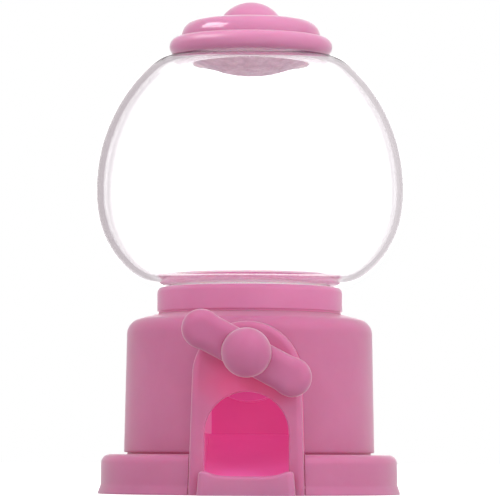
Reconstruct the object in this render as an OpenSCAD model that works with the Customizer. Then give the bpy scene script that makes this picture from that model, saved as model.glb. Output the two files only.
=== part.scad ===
// Toy gumball machine: a clear globe on a round pink base, with a hand-turned drum that drops sweets
// through an arched outlet. Millimetres, +Z up, origin on the floor under the globe, front towards -Y.

/* [Base flange] */
// Outer radius of the flange wall
flange_r = 39; // [37:0.5:43]
// Height of the flange above the floor
flange_h = 10.4; // [9:0.2:13]
// How far the foot of the flange flares out
flare = 0.8; // [0.4:0.1:1.2]
// Height of the flared foot
flare_h = 2.4; // [2:0.2:3]
// Radius of the flange's top edge
flange_edge = 2.4; // [1.6:0.2:3]
// Thickness of the bottom plate
plate_t = 1.8; // [1.4:0.1:2.4]

/* [Body] */
// Outer radius of the body at its foot
body_r = 33; // [32:0.5:34]
// Outer radius of the body below its shoulder
body_top_r = 32.4; // [31.6:0.2:33]
// Height of the body above the flange
body_h = 37.1; // [36.5:0.5:42]
// Radius of the shoulder's corner
shoulder_r = 4.2; // [3:0.2:5]
// Rise of the shoulder from its corner to the collar
shoulder_rise = 1.5; // [1:0.1:2]
// Wall thickness of the coloured mouldings
wall = 1.8; // [1.5:0.1:2.2]
// Height of the shadow gaps under the body and the collar
seam = 0.5; // [0.3:0.1:0.8]

/* [Collar] */
// Outer radius of the collar round the globe's neck
collar_r = 24.5; // [24.2:0.1:25.5]
// Height of the collar above the body
collar_h = 7; // [6.4:0.2:9]
// Radius of the collar's top edge
collar_edge = 2.4; // [1.4:0.2:2.6]

/* [Globe] */
// Radius of the globe at its widest
globe_r = 40.75; // [39:0.25:43]
// Height of the globe's upper curve, before its top is flattened
globe_up = 43.5; // [42:0.5:46]
// Depth of the globe's lower curve, before its bottom is flattened
globe_down = 31.2; // [30:0.2:33]
// Height of the flat top above the widest place
globe_top = 35.6; // [35:0.2:37]
// Depth of the flat bottom below the widest place
globe_bottom = 25.8; // [25:0.2:27]
// Wall thickness of the globe
globe_wall = 1.8; // [1.4:0.1:2.2]
// Radius of the filling mouth
mouth_r = 15.3; // [15:0.1:16]
// Outer radius of the globe's neck
neck_r = 21; // [20.4:0.1:21.4]

/* [Lid] */
// Outer radius of the lid's rim
rim_r = 21.6; // [20.8:0.2:24]
// Thickness of the lid's rim
rim_t = 4.8; // [4:0.2:5.6]
// Radius of the lid's dome
dome_r = 18.5; // [18:0.1:19]
// Height of the dome above the rim
dome_h = 5; // [4.4:0.2:7]
// Radius of the dome's shoulder
dome_edge = 4.9; // [4.4:0.1:5.2]
// Radius of the knob's ball curve
knob_r = 9.4; // [8:0.2:11]
// Height of the knob above the dome
knob_h = 4.6; // [3:0.1:5]
// Depth of the plug's dished bottom
plug_dish = 4; // [3:0.2:5]
// Wall thickness of the plug
plug_wall = 1.2; // [0.8:0.1:1.4]

/* [Front housing] */
// Width of the front housing at the floor
front_w = 29.6; // [29:0.2:31]
// Radius of the housing's arched top
arch_r = 13.9; // [13.8:0.1:14.4]
// Depth of the arch's centre below the handle's shaft
arch_drop = 5.6; // [5:0.1:6.5]
// How far the front face lies behind the front of the flange
front_in = 0.5; // [0:0.1:0.9]
// How far the housing reaches back into the body
front_depth = 11.5; // [10:0.1:12]
// Radius of the housing's front edge
front_edge = 1.8; // [1:0.1:2.2]
// Radius of the outlet's arch
outlet_r = 10.7; // [10:0.1:11]
// Height of the outlet arch's centre
outlet_z = 15.6; // [13:0.2:16]

/* [Outlet tray] */
// How far the tray stands out from the front face
tray_out = 5.8; // [4.5:0.2:8]
// Half the width of the tray at the floor
tray_w = 12.5; // [12:0.1:13]
// Height of the lip at its middle
lip_mid = 4.9; // [4:0.1:6]
// Height of the lip at its corners
lip_corner = 6.2; // [5:0.1:7]

/* [Handle] */
// Distance from the hub to each wing's end centre
wing_reach = 13; // [11:0.2:14]
// Radius of each wing's round end
wing_r = 5; // [4.6:0.1:5.6]
// Width of the bar between the wings
bar_w = 9.4; // [8.4:0.2:9.6]
// Thickness of the wings
handle_t = 6.6; // [6.2:0.1:7.6]
// Radius of the ball on the hub
ball_r = 6.3; // [6:0.1:7]
// Slope of the wings at rest
wing_angle = 28; // [0:1:90]

/* [Drum] */
// Depth of the shaft below the top of the body
shaft_drop = 11.5; // [11.3:0.1:12.5]
// Radius of the shaft
shaft_r = 3; // [2.8:0.1:3.2]
// Radius of the dispensing drum
drum_r = 10.2; // [9.9:0.1:10.3]
// Radius of the drum's pocket
pocket_r = 6.3; // [6:0.1:6.5]
// Depth of the pocket's floor below the shaft's axis
pocket_drop = 2; // [0:0.2:3]
// Thickness of the mechanism's walls
thin = 1.4; // [1.2:0.1:1.6]

/* [Hidden] */
$fn = 96;
pink = "#d98ab5";
hot_pink = "#d45592";
clear = [0.9, 0.95, 0.97, 0.35];
steel = "#b8bcc2";
frosted = "#dcb4cd";

// fits
gap = 0.2;                               // between mouldings that are pushed together
run = 0.06;                              // radial clearance of a journal in its bearing
slack = 0.3;                             // between the drum and its housing
lid_gap = 0.1;                           // between the lid and the globe it rests on
seat_gap = 0.1;                          // between pieces that bear on each other
key_gap = 0.05;                          // round the shaft's flats
bite = 0.02;                             // radial clearance of a screw in its pilot hole
pass = 0.15;                             // radial clearance of a screw in a plain hole
eps = 0.01;                              // overlap of a cut past a face
past = 2;                                // how far a long cut runs past a face

// screws
base_screw_r = 1.2;
base_head_r = 2.4;
base_screw_l = 12;
base_screw_in = 0.2;                     // heads lie this far inside the plate
sink_h = base_head_r - base_screw_r + pass;
recess_reach = 0.6;                      // a cross recess, as shares of the head's radius
recess_depth = 0.3;
recess_slot = 0.22;
small_screw_r = 0.9;
small_head_r = 1.7;
small_head_t = 1;
collar_screw_bite = 4;                   // thread of each screw beyond the wall it clamps
deck_screw_bite = 2.9;
cover_screw_bite = 4.5;
collar_screw_l = wall + collar_screw_bite;
deck_screw_l = thin + deck_screw_bite;
cover_screw_l = thin + cover_screw_bite;
handle_head_r = 2.1;
handle_screw_l = 6.4;

// heights up the machine's axis
body_z = flange_h + body_h;
collar_z = body_z + collar_h;
equator_z = collar_z + globe_bottom;
rim_z = equator_z + globe_top + lid_gap;
dome_z = rim_z + rim_t;
crown_z = dome_z + dome_h;
knob_z = crown_z + knob_h;
shaft_z = body_z - shaft_drop;
arch_z = shaft_z - arch_drop;

// base and body
skirt_r = flange_r - wall;               // inside of the flange wall
step_w = 1;                              // ring that the bottom plate clamps
step_h = 1.8;
foot_edge = 0.3;                         // upright edge of the flared foot
foot_in = 0.1;
inner_edge = 0.8;                        // small bevel inside the flange and under the collar
spigot_r = body_r - wall - gap;          // body's ring that drops into the flange
spigot_d = 2;
spigot_t = 1.2;
spigot_rise = 0.6;
seam_in = 0.9;                           // depth of the shadow gap under the body
boss_r = 3.2;                            // screw columns of the body
boss_ring = spigot_r - boss_r;
boss_top = 24;
rib_w = 1.6;
rib_out = 0.8;
shoulder_sweep = 74;                     // angle of the shoulder's corner
shoulder_squat = 0.96;

// collar and hopper
neck_fit = 0.25;                         // round the globe's neck in the collar
collar_in = neck_r + neck_fit;
collar_seam = 0.45;                      // depth of the shadow gap under the collar
hole_out = 0.45;                         // hole in the body's top beyond the collar's bore
collar_hole = collar_in + hole_out;
mouth_bevel = 0.3;
ledge_in = 0.4;                          // ledge under the hopper's flange
ledge_rise = 1.4;
ledge_r = neck_r - globe_wall + ledge_in;
ledge_z = body_z + ledge_rise;
collar_foot = body_z - wall + gap;
screw_ring_out = 1.65;
collar_screw_ring = collar_in + screw_ring_out;
hopper_t = 1.2;
hopper_fit = 0.6;                        // between the funnel and the globe's neck
hopper_rise = 1.5;
hopper_r = neck_r - globe_wall - hopper_fit;
hopper_z = collar_z + hopper_rise;       // brim of the hopper
brim_r = 0.8;
brim_sweep = 130;
brim_drop = 2.6;                         // brim to the outer edge of the funnel's underside
lip_rise = 1.4;
under_rise = 0.8;

// dispensing mechanism, along the shaft
bore_r = shaft_r + run;
drum_in = drum_r + slack;
casing_t = 1.2;
drum_rear_l = 2.2;                       // drum beyond its pocket, to the back and the front
drum_front_l = 6.2;
socket_out = 1.3;
duct_fit = 0.7;                          // ducts wider than the pocket
deck_drop = 7.6;                         // brim of the hopper to the drum housing
drum_out = drum_in + casing_t;
drum_back = pocket_r + drum_rear_l;
drum_front = -(pocket_r + drum_front_l);
socket_y = -(pocket_r + socket_out);     // bottom of the drum's shaft socket
case_front = drum_front - slack;
case_back = drum_back + slack;
duct_r = pocket_r + duct_fit;
deck_z = hopper_z - deck_drop;           // where the drum housing meets the hopper
deck_x = 16;
deck_y = 5.5;
deck_screw_x = 13.2;
post_r = 2.1;                            // hopper's screw posts
post_h = 3.6;
post_roof = 0.4;
ear_r = 2.4;                             // screw ears of the drum housing
ear_out = 1.9;
ear_x = drum_out + ear_out;
ear_l = 6;
ear_hole_l = 5;
journal_l = 3.4;
cover_boss_w = 2;
cover_boss_out = 0.6;
washer_t = 0.6;
washer_w = 2.4;
front_y = flange_r - front_in;           // front face of the housing
hub_back = -(front_y + washer_t + 2 * seat_gap);
hub_l = 4.7;
hub_front = hub_back - hub_l;
hub_r = 5.6;
shaft_in_hub = 2.3;
shaft_front = hub_back - shaft_in_hub;
shaft_hole_l = 6;
ball_out = 2;                            // ball's centre in front of the hub
cap_ring = 1.5;                          // ring of the ball that sits in the hub
cap_ring_r = 3.55;
cap_bore = 1.2;                          // hollow over the screw's head
cap_bore_r = 2.4;
flat_in = 0.9;
flat = shaft_r - flat_in;                // distance of the shaft's flats from its axis
wing_soft = 0.2;                         // flat left at the middle of a wing's edge

// front housing
front_back = -(front_y - front_depth);
cut_depth = 11;                          // body's opening behind the housing
cut_back = -(front_y - front_depth - cut_depth);
bearing_w = 2.4;
bearing_l = 4;
bearing_in = 0.5;
tongue_t = 1.6;                          // snap tongues that catch behind the body's wall
tongue_h = 6;
tongue_z = 14;
tongue_in = 1.5;
tongue_root = 0.5;
tongue_l = 2.6;
catch_w = 2.4;
catch_t = 1.4;
catch_out = 0.7;
catch_y = front_back + catch_out;

// chute and tray
chute_in = outlet_r + gap;
chute_rise = 0.3;                        // chute's walls over the middle of the outlet's arch
chute_out = 3.5;                         // chute's back beyond the drum
chute_floor = 1.5;
back_in = 0.4;
tray_rise = 1.1;
chute_top = outlet_z + chute_rise;
chute_front = -(front_y - wall - gap);
chute_back = drum_back + chute_out;
chute_low = plate_t + chute_floor;
back_w = outlet_r - back_in;
tray_floor = plate_t + tray_rise;
tray_floor_t = 1.3;
tongue_under = 0.1;
tray_tongue = 2;
lip_t = 1.5;
ear_in = 2;
lip_ear = tray_w - ear_in;               // where the lip's corner turns down
lip_round = 1.4;
scoop = 4;                               // power of the lip's curve

// points of an arc, from angle a to angle b
function arc(x, y, r, a, b, n = 12) =
    [for (i = [0:n]) [x + r * cos(a + (b - a) * i / n), y + r * sin(a + (b - a) * i / n)]];
// a smooth minimum of two heights; a larger p turns more sharply
function softmin(a, b, p) = b * pow(1 + pow(b / max(a, eps), p), -1 / p);
// the globe's upper curve from its widest place to radius end, as an ellipse with a flattened top
function globe_over(r, up, top, end, n = 28) =
    [for (i = [0:n]) let (a = acos(end / r) * i / n) [r * cos(a), equator_z + softmin(up * sin(a), top, 40)]];
// the globe's lower curve, a squarer oval with a flattened bottom
oval = 2 / 2.3;
function globe_under(r, down, low, end, n = 28) =
    [for (i = [0:n]) let (a = acos(pow(end / r, 1 / oval)) * i / n)
        [r * pow(cos(a), oval), equator_z - softmin(down * pow(sin(a), oval), low, 20)]];
function back_to_front(p) = [for (i = [len(p) - 1:-1:0]) p[i]];

// a solid of revolution about the machine's axis
module turned(points) rotate_extrude() polygon(points);
// a cylinder along Y, from y0 to y1, at the shaft's height
module across(r, y0, y1, x = 0, z = shaft_z) translate([x, y1, z]) rotate([90, 0, 0]) cylinder(r = r, h = y1 - y0);
// the arched outline of the front housing in X and Z, grown by g
module front_outline(g = 0) {
    translate([0, arch_z]) circle(arch_r + g);
    polygon([[-front_w / 2 - g, 0], [front_w / 2 + g, 0], [arch_r + g, arch_z], [-arch_r - g, arch_z]]);
}
// a block with the housing's outline, from y0 to y1
module front_block(g, y0, y1) translate([0, y1, 0]) rotate([90, 0, 0]) linear_extrude(y1 - y0) front_outline(g);
// the opening in the body and the flange that takes the front housing
module front_cut() {
    front_block(gap, -flange_r - past, cut_back);
    translate([-front_w / 2 - gap, -flange_r - past, -past])
        cube([front_w + 2 * gap, flange_r + past + cut_back, 2 * past]);
}
// a pan-head screw that points up from z, with a cross recess
module up_screw(x, y, z, r, head_r, head_t, length) translate([x, y, z]) difference() {
    union() {
        translate([0, 0, -head_t]) cylinder(r = head_r, h = head_t);
        cylinder(r = r, h = length);
    }
    cross_recess(head_r * recess_reach, -head_t, head_r * recess_depth);
}
module cross_recess(reach, z, depth) for (a = [0, 90])
    rotate([0, 0, a]) translate([-reach, -reach * recess_slot, z - eps])
        cube([2 * reach, 2 * reach * recess_slot, depth + eps]);
// four places round the axis for the base screws, and three for the collar's
module at_base_screws() for (a = [45:90:315]) rotate([0, 0, a]) translate([boss_ring, 0, 0]) children();
module at_collar_screws() for (a = [30, 150, 270]) rotate([0, 0, a]) translate([collar_screw_ring, 0, 0]) children();

// bottom plate, flat on the floor
module base_plate() color(pink) difference() {
    cylinder(r = skirt_r - gap, h = plate_t);
    translate([-skirt_r, -flange_r, -past]) cube([2 * skirt_r, flange_r + chute_front, plate_t + 2 * past]);
    at_base_screws() {
        translate([0, 0, -eps]) cylinder(r = base_screw_r + pass, h = plate_t + past);
        translate([0, 0, -eps]) cylinder(r1 = base_head_r + 2 * pass, r2 = base_screw_r + pass, h = sink_h);
    }
}

module base_screws() color(steel) at_base_screws() difference() {
    union() {
        translate([0, 0, base_screw_in]) cylinder(r1 = base_head_r, r2 = base_screw_r, h = sink_h - base_screw_in);
        translate([0, 0, base_screw_in]) cylinder(r = base_screw_r, h = base_screw_l);
    }
    cross_recess(base_head_r * recess_reach, base_screw_in, base_head_r * recess_depth);
}

// round flange with a flared foot, open under the body
module base_flange() color(pink) difference() {
    turned(concat(
        [[skirt_r, 0], [flange_r + flare, 0], [flange_r + flare, foot_edge], [flange_r + foot_in, flare_h]],
        arc(flange_r - flange_edge, flange_h - flange_edge, flange_edge, 0, 90),
        [[spigot_r + gap, flange_h], [spigot_r + gap, flange_h - wall], [skirt_r - inner_edge, flange_h - wall],
         [skirt_r, flange_h - wall - inner_edge], [skirt_r, plate_t + step_h], [skirt_r - step_w, plate_t + step_h],
         [skirt_r - step_w, plate_t], [skirt_r, plate_t]]));
    front_cut();
}

// tapered drum of the body, with its shoulder, its spigot in the flange and four screw columns
module body_shell() color(pink) difference() {
    union() {
        turned(concat(
            [[spigot_r, flange_h - spigot_d], [spigot_r, flange_h], [body_r - seam_in, flange_h],
             [body_r - seam_in, flange_h + seam], [body_r, flange_h + seam]],
            body_shoulder(0),
            [[collar_hole, body_z], [collar_hole, body_z - wall]],
            back_to_front(body_shoulder(wall)),
            [[body_r - wall, flange_h + seam + wall], [spigot_r - spigot_t, flange_h + spigot_rise],
             [spigot_r - spigot_t, flange_h - spigot_d]]));
        at_base_screws() {
            translate([0, 0, plate_t]) cylinder(r = boss_r, h = boss_top - plate_t);
            translate([0, -rib_w / 2, flange_h + seam]) cube([boss_r + rib_out, rib_w, boss_top - flange_h - seam]);
        }
    }
    at_base_screws() translate([0, 0, plate_t - eps]) cylinder(r = base_screw_r + bite, h = base_screw_l);
    at_collar_screws() translate([0, 0, body_z - wall - past])
        cylinder(r = small_screw_r + pass, h = wall + 2 * past);
    front_cut();
}
// corner of the shoulder, from the wall to the top, set in by t
function body_shoulder(t) =
    concat(arc(body_top_r - shoulder_r, body_z - shoulder_rise - shoulder_r * shoulder_squat, shoulder_r - t, 0,
               shoulder_sweep),
           [[collar_r - inner_edge + t, body_z - t]]);

// arched front housing: a shell with a rounded front edge, the outlet and the shaft's front bearing
module front_housing() color(pink) difference() {
    union() {
        difference() {
            union() {
                hull() for (a = [0:18:90])
                    front_block(-front_edge * (1 - cos(a)), -front_y + front_edge * (1 - sin(a)),
                                -front_y + front_edge + seam);
                front_block(0, -front_y + front_edge, front_back);
                for (s = [-1, 1]) front_tongue(s);
            }
            front_block(-wall, -front_y + wall, 0);
            translate([-front_w, -front_y + wall, -eps]) cube([2 * front_w, front_y, plate_t + gap]);
        }
        across(shaft_r + bearing_w, -front_y + wall - bearing_in, -front_y + wall + bearing_l);
    }
    across(bore_r, -front_y - past, -front_y + wall + bearing_l + past);
    outlet_hole(-front_y - past, -front_y + wall + past);
}
// a snap tongue at side s that catches behind the body's wall
module front_tongue(s) translate([s * (front_w / 2 - tongue_in), 0, tongue_z]) {
    translate([-tongue_t / 2, front_back - tongue_root, 0]) cube([tongue_t, tongue_l, tongue_h]);
    translate([s > 0 ? 0 : -catch_w, catch_y, 0]) cube([catch_w, catch_t, tongue_h]);
}
// the outlet: a round arch on straight sides, down to the tray's tongue
module outlet_hole(y0, y1) {
    across(outlet_r, y0, y1, 0, outlet_z);
    translate([-outlet_r, y0, plate_t]) cube([2 * outlet_r, y1 - y0, outlet_z - plate_t]);
}

// shallow tray in front of the outlet, with a scooped lip and a tongue through the outlet
module outlet_tray() color(pink) {
    difference() {
        translate([0, -front_y, 0]) rotate([90, 0, 0]) linear_extrude(tray_out) polygon(lip_outline());
        translate([-tray_w + lip_t, -front_y - tray_out + lip_t, tray_floor])
            cube([2 * (tray_w - lip_t), tray_out, lip_corner]);
        translate([-tray_w + lip_t, -front_y - tray_out + lip_t, -eps])
            cube([2 * (tray_w - lip_t), tray_out, tray_floor - tray_floor_t]);
    }
    translate([-outlet_r + gap, -front_y - eps, plate_t + tongue_under])
        cube([2 * (outlet_r - gap), wall + tray_tongue, tray_floor - plate_t - tongue_under]);
}
// front view of the lip: a shallow scoop between two rounded corners
function lip_height(x) = abs(x) < lip_ear
    ? lip_mid + (lip_corner - lip_mid) * pow(abs(x) / lip_ear, scoop)
    : lip_corner - lip_round * (1 - sqrt(max(0, 1 - pow((abs(x) - lip_ear) / lip_round, 2))));
function lip_outline() = concat(
    [[-tray_w, 0]],
    [for (i = [0:48]) let (x = (lip_ear + lip_round) * (i / 24 - 1)) [x, lip_height(x)]],
    [[tray_w, 0]]);

// sloping channel from under the drum to the outlet
module candy_chute() color(hot_pink) {
    for (s = [-1, 1]) translate([s * (chute_in + thin / 2) - thin / 2, chute_front, plate_t])
        cube([thin, chute_back + thin - chute_front, chute_top - plate_t]);
    translate([-chute_in - eps, 0, 0]) rotate([90, 0, 90]) linear_extrude(2 * (chute_in + eps))
        polygon([[chute_front, chute_low], [chute_back + eps, chute_top - thin], [chute_back + eps, chute_top],
                 [chute_front, chute_low + thin]]);
    translate([-back_w, chute_back, chute_top - thin])
        cube([2 * back_w, thin, shaft_z - drum_out - gap - chute_top + thin]);
    translate([-chute_in - eps, chute_back, plate_t]) cube([2 * (chute_in + eps), thin, chute_top - plate_t]);
}

// collar round the globe's neck; its foot drops through the body's top and its ledge carries the hopper
module globe_collar() color(pink) difference() {
    turned(concat(
        [[collar_r, body_z + seam]],
        arc(collar_r - collar_edge, collar_z - collar_edge, collar_edge, 0, 90),
        [[collar_in + mouth_bevel, collar_z], [collar_in, collar_z - mouth_bevel], [collar_in, ledge_z],
         [ledge_r, ledge_z], [ledge_r, collar_foot], [collar_hole - gap, collar_foot], [collar_hole - gap, body_z],
         [collar_r - collar_seam, body_z], [collar_r - collar_seam, body_z + seam]]));
    at_collar_screws() translate([0, 0, body_z - eps])
        cylinder(r = small_screw_r + bite, h = collar_screw_l - wall + gap);
}

module collar_screws() color(steel) at_collar_screws()
    up_screw(0, 0, body_z - wall, small_screw_r, small_head_r, small_head_t, collar_screw_l);

// funnel that leads the sweets from the globe to the drum
module hopper() color(pink) difference() {
    union() {
        turned(concat(
            [[hopper_r - hopper_t, ledge_z], [neck_r - seat_gap, ledge_z], [neck_r - seat_gap, ledge_z + hopper_t],
             [hopper_r, ledge_z + hopper_t]],
            arc(hopper_r - brim_r, hopper_z - brim_r, brim_r, 0, brim_sweep, 6),
            [[duct_r, deck_z + lip_rise], [duct_r, deck_z], [duct_r + thin, deck_z],
             [duct_r + thin, deck_z + under_rise], [hopper_r - hopper_t, hopper_z - brim_drop]]));
        for (s = [-1, 1]) translate([s * deck_screw_x, 0, deck_z]) cylinder(r = post_r, h = post_h);
    }
    for (s = [-1, 1]) translate([s * deck_screw_x, 0, deck_z - eps])
        cylinder(r = small_screw_r + bite, h = post_h - post_roof);
}

// casing round the drum, open above to the hopper and below to the chute
module drum_housing() color(hot_pink) difference() {
    union() {
        across(drum_out, case_front - thin, case_back);
        translate([0, 0, shaft_z]) cylinder(r = duct_r + thin, h = deck_z - shaft_z);
        translate([-deck_x, -deck_y, deck_z - thin]) cube([2 * deck_x, 2 * deck_y, thin]);
        for (s = [-1, 1]) across(ear_r, case_back - ear_l, case_back, s * ear_x);
    }
    across(drum_in, case_front, case_back + past);
    across(bore_r, case_front - thin - past, case_front + past);
    translate([0, 0, shaft_z - drum_out - past]) cylinder(r = duct_r, h = deck_z - shaft_z + drum_out + 2 * past);
    for (s = [-1, 1]) {
        across(small_screw_r + bite, case_back - ear_hole_l, case_back + past, s * ear_x);
        translate([s * deck_screw_x, 0, deck_z - thin - past])
            cylinder(r = small_screw_r + pass, h = thin + 2 * past);
    }
}

module housing_screws() color(steel) for (s = [-1, 1])
    up_screw(s * deck_screw_x, 0, deck_z - thin, small_screw_r, small_head_r, small_head_t, deck_screw_l);

// rear cover of the drum's casing, with the rear bearing
module drum_cover() color(hot_pink) difference() {
    union() {
        across(drum_out, case_back, case_back + thin);
        across(shaft_r + cover_boss_w, case_back, drum_back + journal_l + cover_boss_out);
        for (s = [-1, 1]) across(ear_r, case_back, case_back + thin, s * ear_x);
    }
    across(bore_r, case_back - past, drum_back + journal_l + past);
    for (s = [-1, 1]) across(small_screw_r + pass, case_back - past, case_back + thin + past, s * ear_x);
}

module cover_screws() color(steel) for (s = [-1, 1])
    translate([s * ear_x, case_back + thin, shaft_z]) rotate([90, 0, 0])
        up_screw(0, 0, 0, small_screw_r, small_head_r, small_head_t, cover_screw_l);

// the turning drum: one pocket that fills at the top and empties at the bottom
module dispensing_drum() color("#f0d8e4") difference() {
    union() {
        across(drum_r, drum_front, drum_back);
        across(shaft_r, drum_back - eps, drum_back + journal_l);
    }
    translate([0, 0, shaft_z - pocket_drop]) cylinder(r = pocket_r, h = drum_r + pocket_drop + past);
    shaft_bar(key_gap, drum_front - past, socket_y);
}

// a shaft with a flat on each side, grown by g
module shaft_bar(g, y0, y1) intersection() {
    across(shaft_r + g, y0, y1);
    translate([-shaft_r - past, y0, shaft_z - flat - g]) cube([2 * (shaft_r + past), y1 - y0, 2 * (flat + g)]);
}

// shaft from the handle to the drum: round in its bearings, flattened at both ends
module drive_shaft() color(steel) difference() {
    union() {
        across(shaft_r, hub_back + gap, drum_front - gap);
        shaft_bar(0, shaft_front, socket_y - gap);
    }
    across(small_screw_r + bite, shaft_front - past, shaft_front + shaft_hole_l);
}

module thrust_washer() color("#e8e8ea") difference() {
    across(shaft_r + washer_w, -front_y - seat_gap - washer_t, -front_y - seat_gap);
    across(shaft_r + pass, -front_y - past, -front_y + past);
}

// two-winged handle with a seat for the ball
module handle() color(pink) difference() {
    union() {
        translate([0, 0, shaft_z]) rotate([0, wing_angle, 0]) {
            translate([-wing_reach, hub_back - handle_t / 2, 0]) rotate([0, 90, 0]) rotate([0, 0, 90])
                linear_extrude(2 * wing_reach) rounded_bar(handle_t, bar_w, handle_t / 2 - wing_soft);
            for (s = [-1, 1]) translate([s * wing_reach, hub_back, 0]) rotate([90, 0, 0]) pill(wing_r, handle_t);
        }
        across(hub_r, hub_front, hub_back);
    }
    intersection() {
        translate([0, hub_front - ball_out, shaft_z]) sphere(r = ball_r + seat_gap);
        across(2 * ball_r, hub_front - 3 * ball_r, hub_front);
    }
    across(cap_ring_r + key_gap, hub_front - past, hub_front + cap_ring + seat_gap);
    across(small_screw_r + pass, hub_front, hub_back);
    shaft_bar(key_gap, shaft_front, hub_back + past);
}
// a bar's section: a rectangle w by h with corners of radius r
module rounded_bar(w, h, r) {
    square([w - 2 * r, h], center = true);
    square([w, h - 2 * r], center = true);
    for (x = [-1, 1], y = [-1, 1]) translate([x * (w / 2 - r), y * (h / 2 - r)]) circle(r);
}
// a round disc of thickness t with a full-round edge
module pill(r, t) {
    rotate_extrude() intersection() {
        union() {
            translate([r - t / 2 + wing_soft, t / 2]) circle(t / 2);
            square([r - t / 2 + wing_soft, t]);
        }
        square([r, t]);
    }
}

module handle_screw() color(steel) translate([0, hub_front + cap_ring + seat_gap, shaft_z]) rotate([-90, 0, 0])
    up_screw(0, 0, 0, small_screw_r, handle_head_r, small_head_t, handle_screw_l);

// ball that covers the handle's screw, held by a ring in the hub and turned about the shaft
module hub_cap() color(pink) translate([0, hub_front, shaft_z]) rotate([90, 0, 0])
    turned(concat(
        [[cap_bore_r, cap_bore], [cap_bore_r, -cap_ring], [cap_ring_r, -cap_ring], [cap_ring_r, 0]],
        arc(0, ball_out, ball_r, -asin(ball_out / ball_r), 90, 24),
        [[0, cap_bore]]));

// clear globe with a filling mouth above and a neck below
module globe() color(clear) turned(concat(
    back_to_front(globe_over(globe_r, globe_up, globe_top, mouth_r)),
    globe_under(globe_r, globe_down, globe_bottom, neck_r),
    [[neck_r, ledge_z + hopper_t + seat_gap], [neck_r - globe_wall, ledge_z + hopper_t + seat_gap]],
    back_to_front(globe_under(globe_r - globe_wall, globe_down - globe_wall, globe_bottom - globe_wall,
                              neck_r - globe_wall)),
    globe_over(globe_r - globe_wall, globe_up - globe_wall, globe_top - globe_wall, mouth_r)));

// cap of the lid: a full-round rim under a shallow dome, hollow, with a ring for the plug
plug_r = mouth_r - 2 * gap;
ring_in = 1.7;                           // ring that holds the plug, inside the plug's radius
ring_rise = 2.6;                         // its foot over the rim's underside
cavity_out = 1.3;
cavity_in = 2;                           // slope at the top of the hollow
cavity_drop = 1;
ring_r = plug_r - ring_in;
ring_t = 1.2;
ring_z = rim_z + ring_rise;
cap_wall = 1.6;
cap_soft = 0.8;
cavity_r = plug_r + cavity_out;
dome_fall = 0.5;
stem_r = 2.5;
knob_base = sqrt(pow(knob_r, 2) - pow(knob_r - knob_h, 2));
module lid_cap() color(pink) turned(concat(
    [[stem_r + seat_gap, crown_z], [knob_base + mouth_bevel, crown_z]],
    back_to_front(arc(dome_r - dome_edge, crown_z - dome_fall - dome_edge, dome_edge, 6, 84)),
    back_to_front(arc(rim_r - rim_t / 2, rim_z + rim_t / 2, rim_t / 2, -90, 90, 20)),
    [[cavity_r, rim_z], [cavity_r, dome_z], [cavity_r - cavity_in, crown_z - cap_wall - cavity_drop],
     [ring_r, crown_z - cap_wall - cap_soft], [ring_r, ring_z], [ring_r - ring_t, ring_z],
     [ring_r - ring_t, crown_z - cap_wall - cap_soft], [stem_r + seat_gap, crown_z - cap_wall]]));

module lid_knob() color(pink) union() {
    intersection() {
        translate([0, 0, knob_z - knob_r]) sphere(r = knob_r);
        translate([-knob_r, -knob_r, crown_z]) cube([2 * knob_r, 2 * knob_r, knob_h + past]);
    }
    translate([0, 0, crown_z - cap_wall - cap_soft]) cylinder(r = stem_r, h = cap_wall + cap_soft + eps);
}

// frosted plug: a thin cup with a dished bottom that closes the mouth
dish_r = (pow(plug_r, 2) + pow(plug_dish, 2)) / (2 * plug_dish);
plug_drop = 5.2;                         // plug below and above the rim's underside
plug_rise = 3.4;
plug_z = rim_z - plug_drop;
plug_top = rim_z + plug_rise;
plug_bore = ring_r + pass;
function dish(r, ball) = [for (i = [0:16]) let (x = r * i / 16) [x, plug_z + dish_r - sqrt(pow(ball, 2) - x * x)]];
module lid_plug() color(frosted) turned(concat(
    dish(plug_r, dish_r),
    [[plug_r, plug_top], [plug_bore, plug_top]],
    back_to_front(dish(plug_bore, dish_r - plug_wall))));

base_plate();
base_screws();
base_flange();
body_shell();
front_housing();
outlet_tray();
candy_chute();
globe_collar();
collar_screws();
hopper();
drum_housing();
housing_screws();
drum_cover();
cover_screws();
dispensing_drum();
drive_shaft();
thrust_washer();
handle();
handle_screw();
hub_cap();
globe();
lid_cap();
lid_knob();
lid_plug();
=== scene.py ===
"""Toy gumball machine: smooth mouldings, finishes and a plain studio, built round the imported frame."""

import logging
import math
from dataclasses import dataclass, field, replace
from enum import Enum
from typing import Callable, Sequence

import bmesh
import bpy
import numpy as np
from mathutils import Matrix, Vector

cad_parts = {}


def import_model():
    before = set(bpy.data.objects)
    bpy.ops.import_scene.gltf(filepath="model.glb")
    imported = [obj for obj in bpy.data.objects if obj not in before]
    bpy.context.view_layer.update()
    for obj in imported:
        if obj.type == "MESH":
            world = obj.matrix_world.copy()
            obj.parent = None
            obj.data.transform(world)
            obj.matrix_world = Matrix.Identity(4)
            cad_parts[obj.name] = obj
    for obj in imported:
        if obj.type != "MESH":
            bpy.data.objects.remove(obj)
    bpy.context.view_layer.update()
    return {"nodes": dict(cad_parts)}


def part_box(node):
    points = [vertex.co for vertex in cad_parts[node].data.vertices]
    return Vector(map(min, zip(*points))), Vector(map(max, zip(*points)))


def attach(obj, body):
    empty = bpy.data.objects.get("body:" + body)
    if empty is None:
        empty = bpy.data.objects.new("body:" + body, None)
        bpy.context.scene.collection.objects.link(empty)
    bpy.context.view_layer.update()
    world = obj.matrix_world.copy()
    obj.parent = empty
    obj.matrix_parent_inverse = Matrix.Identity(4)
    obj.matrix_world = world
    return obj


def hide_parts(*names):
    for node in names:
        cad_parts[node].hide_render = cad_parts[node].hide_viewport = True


LOG = logging.getLogger("gumball_machine")
MM = 0.001
MERGE = 2e-7  # metres under which points merge
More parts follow.
